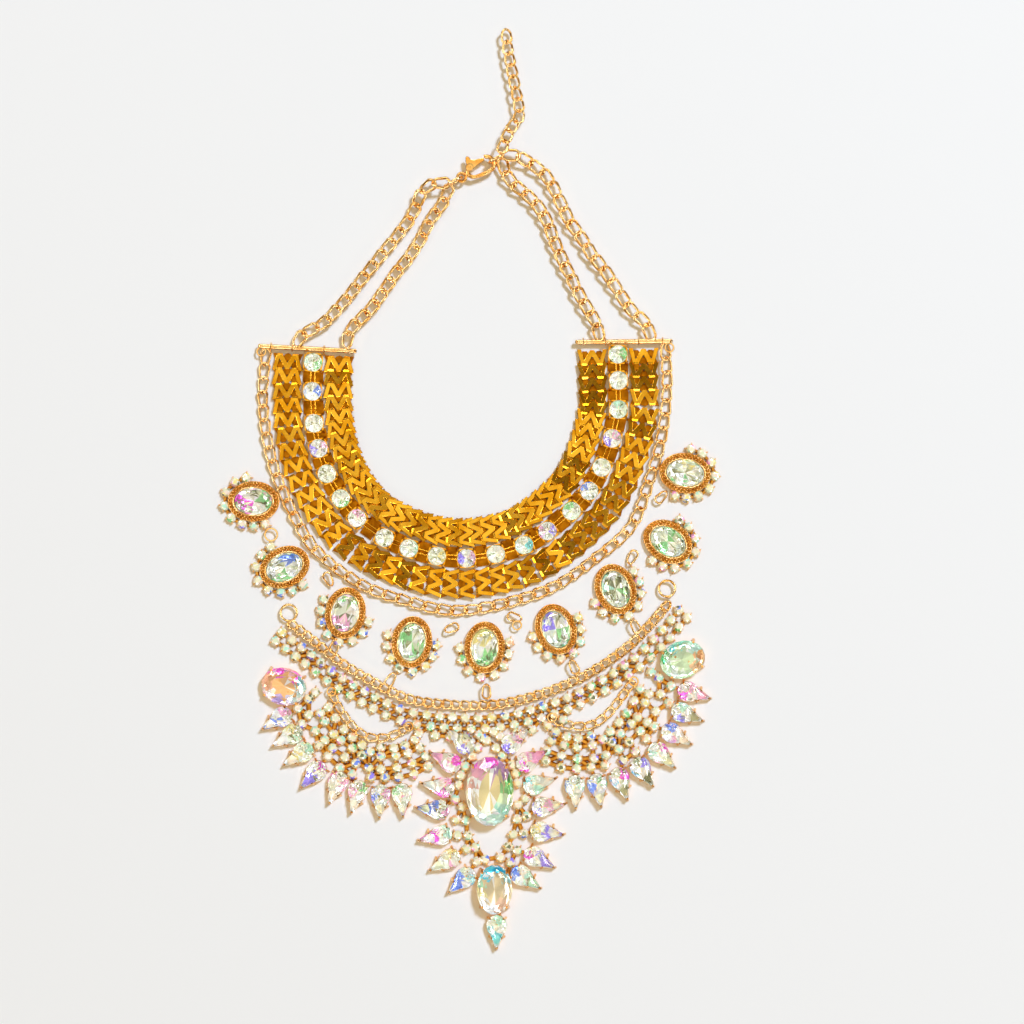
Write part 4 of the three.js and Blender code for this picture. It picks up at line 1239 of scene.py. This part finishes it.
def mirrored(points):
    """The left fan's spots, mirrored and turned so that its ends meet the right fan's ends."""
    a, b = complex(*FAN_LINES["left"][0]), complex(*FAN_LINES["left"][-1])
    c, d = complex(*FAN_LINES["right"][0]), complex(*FAN_LINES["right"][-1])
    turn = (d - c) / (b - a).conjugate()
    moved = []
    for x, y in points:
        here = complex((x - MIDDLE[0]) * PIXEL, (MIDDLE[1] - y) * PIXEL)
        there = c + (here - a).conjugate() * turn
        moved.append(spot(there.real, there.imag))
    return moved


for side, outward in (("left", 1), ("right", -1)):
    rng = random.Random(side)
    backs, bowls, crowns, bars = [], [], [], []
    places = pears(FAN_LINES[side], 8, outward)
    for place in places:
        set_pear(place, rng, backs, bowls, crowns)
    spots = [seen(x, y) for x, y in FAN_LEFT_SPOTS] if side == "left" else mirrored(FAN_LEFT_SPOTS)
    cups, stones = small_row(spots, rng, bars, 6.2, thick=1.8)
    for place in places:
        root = place.translation
        near = min(spots, key=lambda s: (s - root).length)
        bars.append(bar_between(root, near))
    frame_piece = joined(backs + cups + bars, f"fan_frame_{side}")
    carried(frame_piece, f"fan_{side}", finish="setting_gold")
    carried(joined(stones, f"fan_small_stones_{side}"), finish="crystal")
    carried(wear(joined(bowls, f"fan_pear_foils_{side}"), foil), finish="crystal")
    carried(wear(joined(crowns, f"fan_pear_crowns_{side}"), lead_glass), finish="crystal")
print("fan stones:", len(FAN_LEFT_SPOTS), "each side")

# %% [markdown]
# The pendant has fifteen pear stones round two ovals, with pairs of small stones between.

# %% Pendant
PENDANT_LINES = {
    "left": [
        (1.5, -96.0), (-3.7, -103.0), (-5.9, -111.9), (-7.4, -118.6), (-6.7, -125.6),
        (-3.7, -134.1), (1.5, -140.0),
    ],
    "right": [
        (12.2, -96.0), (17.4, -102.3), (20.0, -110.8), (22.6, -116.7), (22.2, -124.9),
        (20.7, -131.9), (15.5, -139.7),
    ],
}
PENDANT_SPOTS = [
    (479, 734.4), (493.6, 731.4), (477.5, 747), (496, 747.5), (472, 756), (465, 766), (461, 775),
    (458.7, 785), (455, 799), (462.5, 806.5), (456, 819), (465.7, 820), (457.3, 835), (468.2, 835),
    (466.5, 848.5), (475.5, 847), (477, 861), (485, 859), (502, 755.2), (511.8, 764.4), (516, 773),
    (518, 782.5), (525.3, 798), (517.8, 804.3), (526.5, 815.8), (517, 818.6), (513, 834),
    (523.5, 833), (517, 850), (508.5, 846), (510.5, 862), (500.5, 857), (486.5, 740),
]
rng = random.Random(5)
bars, pair_parts = [], []
for side, outward in (("left", 1), ("right", -1)):
    for i, place in enumerate(pears(PENDANT_LINES[side], 7, outward), 1):
        backs, bowls, crowns = [], [], []
        set_pear(place, rng, backs, bowls, crowns)
        pair_parts.append((f"pendant_pear_{side}_{i}", place, backs, bowls, crowns))
PENDANT_END = spot(9.9, -156.5)
backs, bowls, crowns = [], [], []
bottom_place = flat_place(PENDANT_END + Vector((0, -PEAR_WIDE / 2 * MM, 0)), -90)
set_pear(bottom_place, rng, backs, bowls, crowns)
pair_parts.append(("pendant_pear_bottom", bottom_place, backs, bowls, crowns))
spots = [seen(x, y) for x, y in PENDANT_SPOTS]
cups, stones = small_row(spots, rng, bars, 5.9, thick=1.6)
for name, place, backs, bowls, crowns in pair_parts:
    root = place.translation
    near = min(spots, key=lambda s: (s - root).length)
    bars.append(bar_between(root, near, 1.4))
    carried(wear(joined(crowns, name + "_crown"), lead_glass), name, finish="crystal")
    carried(wear(joined(bowls, name + "_foil"), foil), finish="crystal")
    carried(joined(backs, name + "_back"), finish="setting_gold")

# %% [markdown]
# The four large ovals show most colour. Their coating turns from magenta over peach to aqua
# round the stone, because each facet throws the light back at another angle. The colours are
# therefore given by direction, as stops round the edge and one for the middle, which is painted
# shadow and reflection seen through the stone. A few facets are painted white as highlights.

# %% Ovals
# name, place, turn, length, width, height of the seat above the table and height of the stone
OVALS = [
    ("centre_oval", 7.3, -110.7, 90, 25.6, 17.8, 1.7, 8.0),
    ("lower_oval", 9.1, -147.0, 90, 18.4, 13.2, 1.7, 6.6),
    ("side_oval_left", -68.6, -72.3, -15, 17.0, 13.8, 0.0, 6.6),
    ("side_oval_right", 78.4, -62.4, 20, 17.0, 13.8, 0.0, 6.6),
]
# the coating's colours round each large oval, from degrees on the photograph; the last is the
# colour under the table, painted shadow and gold reflection of the floor seen through the stone
AROUND = {
    "centre_oval": [
        (-70, "#C9F2DC"), (-30, "#DDF5C8"), (15, "#7CC87A"), (40, "#3F9A4A"), (65, "#B58BC0"),
        (95, "#FF5AE0"), (120, "#F9B0C8"), (165, "#E9B4A8"), (200, "#E6D6BC"), (250, "#F4FFF6"),
        (290, "#A8EBD6"), "#DCCB94",
    ],
    "lower_oval": [
        (-60, "#FAD0B4"), (0, "#F7E6C8"), (35, "#9FE0E8"), (80, "#19B4E8"), (110, "#39D2F2"),
        (150, "#A9E8C8"), (200, "#F1E49C"), (250, "#FFFFFF"), (300, "#F9C6A8"), "#DDC9A0",
    ],
    "side_oval_left": [
        (-80, "#D8D4F4"), (-30, "#CFEFEA"), (10, "#9ED8DC"), (45, "#FF40F0"), (75, "#F6C0DC"),
        (120, "#FF4AE4"), (160, "#F7B48A"), (200, "#FFF2DC"), (240, "#B9A4E8"), "#F2B878",
    ],
    "side_oval_right": [
        (-80, "#D6F2C8"), (-30, "#FBC89A"), (10, "#F9B47E"), (50, "#C9F2EA"), (90, "#8FE8E0"),
        (130, "#3FC8D8"), (165, "#2FB46A"), (205, "#D9F6D4"), (250, "#F4FFF4"), "#C8E0B8",
    ],
}


def paint_around(piece, turn, stops, inner, rng):
    """Colours each facet of a stone, still at the origin, by its direction once turned. The middle
    is painted as shadow seen through the table, and a few facets as white highlights.
    """
    *ring, table = stops
    colours = []
    for face in piece.data.polygons:
        out = face.center
        angle = math.degrees(math.atan2(out.y, out.x)) + turn + rng.uniform(-12, 12)
        near = min(ring, key=lambda stop: abs((stop[0] - angle + 180) % 360 - 180))
        colour = table if math.hypot(out.x, out.y) < inner * MM else near[1]
        # about one facet in twelve is painted white, as a highlight
        colours.append("#FFFFFF" if rng.random() < 0.08 else colour)
    paint(piece, colours)


rng = random.Random(4)
for name, x, y, turn, length, width, seat, height in OVALS:
    rim_height = seat + height * 0.42
    bowl = foil_bowl(name + " bowl", length - 0.2, width - 0.2, rim_height, height * 0.38, 9)
    crown = cut_crown(name + " crown", length, width, seat + height * 0.44, height * 0.54, 9, 0.6)
    place = flat_place(spot(x, y), turn)
    oval_foil = copy_of(bowl, place)
    paint_around(oval_foil, turn, AROUND[name], width * 0.27, rng)
    top = wear(joined([copy_of(crown, place)], name + "_crown"), lead_glass)
    carried(top, name, finish="large_crystal")
    carried(wear(joined([oval_foil], name + "_foil"), foil), finish="large_crystal")
    hold = []
    for i in range(4):
        angle = math.pi / 4 + i * math.pi / 2
        edge = oval_spot(length, width, angle)
        hold.append(bar_between(place @ (edge * 0.3), place @ (edge * 1.04), 1.2, 0.5))
        tall = seat + height * 0.62
        foot = (edge.x * 1.03, edge.y * 1.03, tall / 2 * MM)
        over = (0.2 * math.sin(angle), -0.2 * math.cos(angle), 0)
        hold.append(wear(claw(6, 0.6, 0.5, tall, foot, over), cast_zinc))
        hold[-1].matrix_world = place @ hold[-1].matrix_world
    carried(joined(hold, name + "_claws"), finish="setting_gold")
carried(joined(cups + bars, "pendant_bars"), "pendant_frame", finish="setting_gold")
carried(joined(stones, "pendant_small_stones"), finish="crystal")

# %% [markdown]
# Jump rings and single links join the parts: links from the border chain to a medallion and
# from a medallion down to the bib chain, a larger ring at each end of the bib chain, and small
# ones at the ends of the swags and of the end bars. Each lies where the photograph shows it. A
# few of them only lie beside their neighbours and aren't threaded through them.

# %% Rings and hanging links
large_ring = wear(oval_ring("large ring", 6.0, 6.0, 0.95, 2.1, 28, 8), drawn_wire)
small_ring = wear(oval_ring("small ring", 3.2, 3.2, 0.7, 2.3, 18, 6), drawn_wire)
middle_ring = wear(oval_ring("middle ring", 4.6, 4.6, 0.75, 2.2, 24, 6), drawn_wire)
RINGS = [
    (289.3, 612.5, large_ring), (666.7, 588.4, large_ring), (271.7, 534.5, middle_ring),
    (517, 625, small_ring), (332, 691, small_ring), (409, 726, small_ring),
    (633.5, 681, small_ring), (552, 717, small_ring), (262, 352, small_ring),
    (669, 348, small_ring),
]
fittings = [copy_of(model, flat_place(seen(x, y))) for x, y, model in RINGS]
# each link's place on the photograph, and the number of the medallion that it points to
HANGERS = [
    (329, 579, 3), (451.8, 627.8, 4), (514.5, 617, 6), (632, 557, 7), (661, 497, 9),
    (335, 646, 3), (391, 679, 4), (486.5, 691, 5), (573.7, 666.5, 6), (635, 626, 7),
]
hanger = wear(border_link, drawn_wire)
for x, y, medal in HANGERS:
    here = seen(x, y, 2.2)
    along = (medal_centres[medal - 1] - here) * Vector((1, 1, 0))
    place = along_place(here, along.normalized(), 25) @ Matrix.Scale(0.85, 4)
    fittings.append(copy_of(hanger, place))
carried(joined(fittings, "rings_and_hangers"), finish="chain_gold")
print("rings and hanging links:", len(fittings))

# %% [markdown]
# Each collar end is held by a round bar. The chains' last links and the first plates loop
# over it, so the bar also carries a few wire loops. The bar is a cylinder with its ends
# turned down to a bead, as on a lathe.

# %% End bars
# each bar's two ends on the photograph, and where its loops are, as shares of its length
BAR_ENDS = {
    "left": ((261.5, 346.5), (354.5, 351.5), (0.11, 0.34, 0.68, 0.95)),
    "right": ((577.5, 342.5), (669.5, 341.5), (0.06, 0.3, 0.66, 0.92)),
}
loop = wear(oval_ring("bar loop", 3.4, 2.6, 0.6, 0.0, 18, 6), drawn_wire)
for side, (start, stop, loops) in BAR_ENDS.items():
    low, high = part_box(f"end_bar_{side}")
    thick = high[2] - low[2]
    height = (low[2] + high[2]) / 2
    a, b = seen(*start) + Vector((0, 0, height)), seen(*stop) + Vector((0, 0, height))
    clear()
    bpy.ops.mesh.primitive_cylinder_add(
        vertices=16, radius=min(thick / 2, 0.95 * MM), depth=(b - a).length
    )
    edit(bpy.context.object)
    for end in (-1, 1):
        pick(lambda f: f.z * end > 1 * MM, "FACE")
        bpy.ops.mesh.inset(thickness=0.3 * MM)
        step = {"value": (0, 0, end * 0.5 * MM)}
        for grow in (1.6, 0.55):
            bpy.ops.mesh.extrude_region_move(TRANSFORM_OT_translate=step)
            bpy.ops.transform.resize(value=(grow, grow, 1))
    finish_model(40)
    rod = wear(bpy.context.object, drawn_wire)
    along = (b - a).normalized()
    rod.matrix_world = along_place((a + b) / 2, along) @ turned(90, "Y")
    parts = [rod]
    for share in loops:
        turn = along_place(a.lerp(b, share), along) @ turned(90, "Y")
        parts.append(copy_of(loop, turn))
    carried(joined(parts, f"bar_{side}"), f"end_bar_{side}", finish="chain_gold")
print("bar thickness:", round(thick / MM, 2), "mm")

# %% [markdown]
# The lobster clasp is drawn along its own axis, from its eye to its hook, and then set at its
# place. The hook is a ring pulled long, with its mouth cut out of one side. The gate that
# closes the mouth turns on a pin between two cheeks, so it is a piece of its own on the lever's
# body, and its pin is where the joint is.

# %% Clasp hook
CLASP_TURN = 28
CLASP_MIDDLE = spot(-3.0, 115.4, 3.55)
clasp_place = Matrix.Translation(CLASP_MIDDLE) @ turned(CLASP_TURN, "Z")
PIN = Vector((4.3, 1.9, 0)) * MM
edit(torus(40, 10, 2.75, 1.7))
for side in (-1, 1):
    pick(lambda v: v.x * side > 0.1 * MM)
    bpy.ops.transform.translate(value=(side * 2.45 * MM, 0, 0))
bpy.ops.mesh.select_all(action="SELECT")
bpy.ops.transform.translate(value=(7.9 * MM, 0, 0))
bpy.ops.transform.resize(value=(1, 1, 1.25), center_override=(0, 0, 0))
pick(lambda v: v.x < 5.5 * MM)
bpy.ops.transform.resize(value=(1, 0.86, 1.0), center_override=(0, 0, 0))
pick(lambda f: 6.2 * MM < f.x < 10.9 * MM and f.y > 0.5 * MM, "FACE")
bpy.ops.mesh.delete(type="FACE")
bpy.ops.mesh.select_all(action="SELECT")
bpy.ops.mesh.fill_holes(sides=0)
face_out()
clasp_parts = [finish_model(50)]
# the eye
torus(32, 10, 1.6, 1.1)
clasp_parts.append(finish_model(60))
# the swivel: a short turned neck between eye and hook
edit(cylinder(20, 0.8, 1.0, (2.3 * MM, 0, 0), (0, 90, 0)))
for face_x, step, grow in ((1.8, -0.35, 1.35), (2.8, 0.35, 1.45)):
    pick(lambda f: abs(f.x - face_x * MM) < 0.01 * MM, "FACE")
    bpy.ops.mesh.extrude_region_move(TRANSFORM_OT_translate={"value": (step * MM, 0, 0)})
    bpy.ops.transform.resize(value=(1, grow, grow))
clasp_parts.append(finish_model(35))
# two cheeks and the pin through them, its heads hammered round
for height, radius, thick in ((-0.95, 1.45, 0.4), (0.95, 1.45, 0.4), (0.0, 0.5, 2.6)):
    edit(cylinder(24, radius, thick, PIN + Vector((0, 0, height * MM))))
    bpy.ops.mesh.select_all(action="SELECT")
    bpy.ops.mesh.bevel(offset=0.12 * MM, segments=2)
    clasp_parts.append(finish_model(40))
hook_piece = joined(clasp_parts, "clasp_hook")
hook_piece.matrix_world = clasp_place
clear()
hook_piece.select_set(True)
settle()
carried(wear(hook_piece, cast_zinc), "clasp_body", finish="chain_gold")

# %% [markdown]
# The gate is the only part that moves. It is a curved arm, thick at the pin and thin at the
# tip, with a thumb tab outside. It is its own piece and rides on the moving body, so it turns
# about the pin when the clasp is posed.

# %% Clasp gate
round_end = [math.radians(120 + 170 * i / 8) for i in range(9)]
gate_outline = [(4.3 + 1.4 * math.cos(a), 1.9 + 1.4 * math.sin(a)) for a in round_end]
gate_outline += [
    (7.6, 1.25), (10.4, 1.5), (10.45, 2.5), (8.8, 3.1), (7.0, 3.5), (6.0, 4.1), (5.9, 5.3),
    (5.4, 5.95), (4.7, 5.8), (4.2, 5.0), (3.8, 3.9),
]
gate = cut_plate("gate", gate_outline, 0.9, 0.2)
models.remove(gate)
gate.matrix_world = clasp_place
settle()
gate.name = "clasp_gate"
carried(wear(gate, cast_zinc), "clasp_lever", body="lever", finish="chain_gold")

# %% [markdown]
# A jump ring on each side joins the clasp to the chains. It is bent from round wire, so a
# torus gives its shape, standing on edge as a ring does that is threaded through an eye. A
# shallow groove across the wire shows where it was opened and closed.

# %% Clasp rings
RING_RADIUS, RING_WIRE = 3.0, 1.1
for side in ("left", "right"):
    low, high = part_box(f"clasp_ring_{side}")
    middle = (Vector(low) + Vector(high)) / 2
    torus(40, 10, RING_RADIUS, RING_WIRE, middle, (90, 0, CLASP_TURN))
    ring = finish_model(60)
    # the cut where the ring was opened: a thin groove pressed round the wire at the top
    edit(ring)
    pick(lambda v: v.z > middle.z + 2.2 * MM and abs(v.x - middle.x) < 0.2 * MM)
    bpy.ops.transform.resize(value=(1, 1, 0.97), center_override=middle)
    finish_model(60)
    ring.name = f"ring_{side}"
    carried(wear(ring, drawn_wire), f"clasp_ring_{side}", finish="chain_gold")
print("clasp set at", [round(v / MM, 1) for v in CLASP_MIDDLE])

# %% [markdown]
# The necklace lies on white paper. Matt paper shows no reflection, only the soft shadows.

# %% Floor
clear()
bpy.ops.mesh.primitive_plane_add(size=3.0)
floor = bpy.context.object
floor.name = "floor"
paper = new_material("matt white paper")
shade(paper, [], Base_Color=hex_colour("#F6F4F1"), Roughness=0.9)
wear(floor, paper)

# %% [markdown]
# Polished gold and crystal show what is round them, so the studio matters as much as they do.
# The world is a pale warm ceiling with one bright band low on the walls: flat faces reflect
# the ceiling and stay gold, while bevels and wires catch the band as a thin white line. One
# cooler light from the upper right draws the shadows of the photograph. It lights the floor
# only by diffuse light, because its reflection would burn one half of the collar white.

# %% Lights
bpy.context.scene.view_settings.view_transform = "Standard"
clear()
bpy.ops.object.light_add(type="AREA", location=(1.8, 2.1, 3.8))
key = bpy.context.object
key.name = "soft light"
key.data.shape = "DISK"
key.data.size = 0.8
key.data.energy = 200
key.data.color = hex_colour("#CBE1FF")[:3]
key.visible_glossy = False
key.rotation_euler = (Vector((0, 0, 0)) - key.location).to_track_quat("-Z", "Y").to_euler()

# four long strips low round the table, seen only as reflections: they are the thin white
# lines on wires, on the lips of the plates and in the stones
STRIP_AWAY, STRIP_UP, STRIP_TURN = 1.2, 0.66, 12
for turn in (0, 90, 180, 270):
    angle = math.radians(turn + STRIP_TURN)
    place = (STRIP_AWAY * math.cos(angle), STRIP_AWAY * math.sin(angle), STRIP_UP)
    bpy.ops.object.light_add(type="AREA", location=place)
    strip = bpy.context.object
    strip.name = f"strip {turn}"
    strip.data.shape = "RECTANGLE"
    strip.data.size = 1.3
    strip.data.size_y = 0.14
    strip.data.energy = 7
    strip.visible_diffuse = False
    strip.rotation_euler = (-strip.location).to_track_quat("-Z", "Y").to_euler()


class Studio:
    """The world's nodes, under the name that add_node knows."""

    world = bpy.data.worlds.new("soft studio")
    world.use_nodes = True
    node_tree = world.node_tree


Studio.node_tree.nodes.clear()
way = add_node(Studio, "ShaderNodeTexCoord").outputs["Generated"]
split = add_node(Studio, "ShaderNodeSeparateXYZ", [("Vector", way)])
CEILING = [
    (0.0, "#3A2A1A"), (0.34, "#4A3824"), (0.4, "#C8B48C"), (0.52, "#C8B084"), (0.6, "#40362A"),
    (0.82, "#4A4032"), (0.9, "#DED0AC"), (1.0, "#E8DAB6"),
]
walls = ramp(Studio, split.outputs["Z"], CEILING)
sky = add_node(Studio, "ShaderNodeBackground", [("Color", walls)], Strength=1.55)
add_node(Studio, "ShaderNodeOutputWorld", [("Surface", sky.outputs["Background"])])
bpy.context.scene.world = Studio.world
print("studio set")

# %% [markdown]
# A solid that no modelled piece stands for would still show, so it gets a real finish too.

# %% CAD nodes that still show
showing = [name for name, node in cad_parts.items() if not node.hide_render]
for name in showing:
    wear(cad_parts[name], drawn_wire)
print("shown as packed:", showing)

# %% [markdown]
# The patterns that were copied are no part of the necklace and are taken away. The sizes of
# the solids and of the finished pieces are written down side by side, to be compared.

# %% Clear the models away and finish
for model in models:
    bpy.data.objects.remove(model)
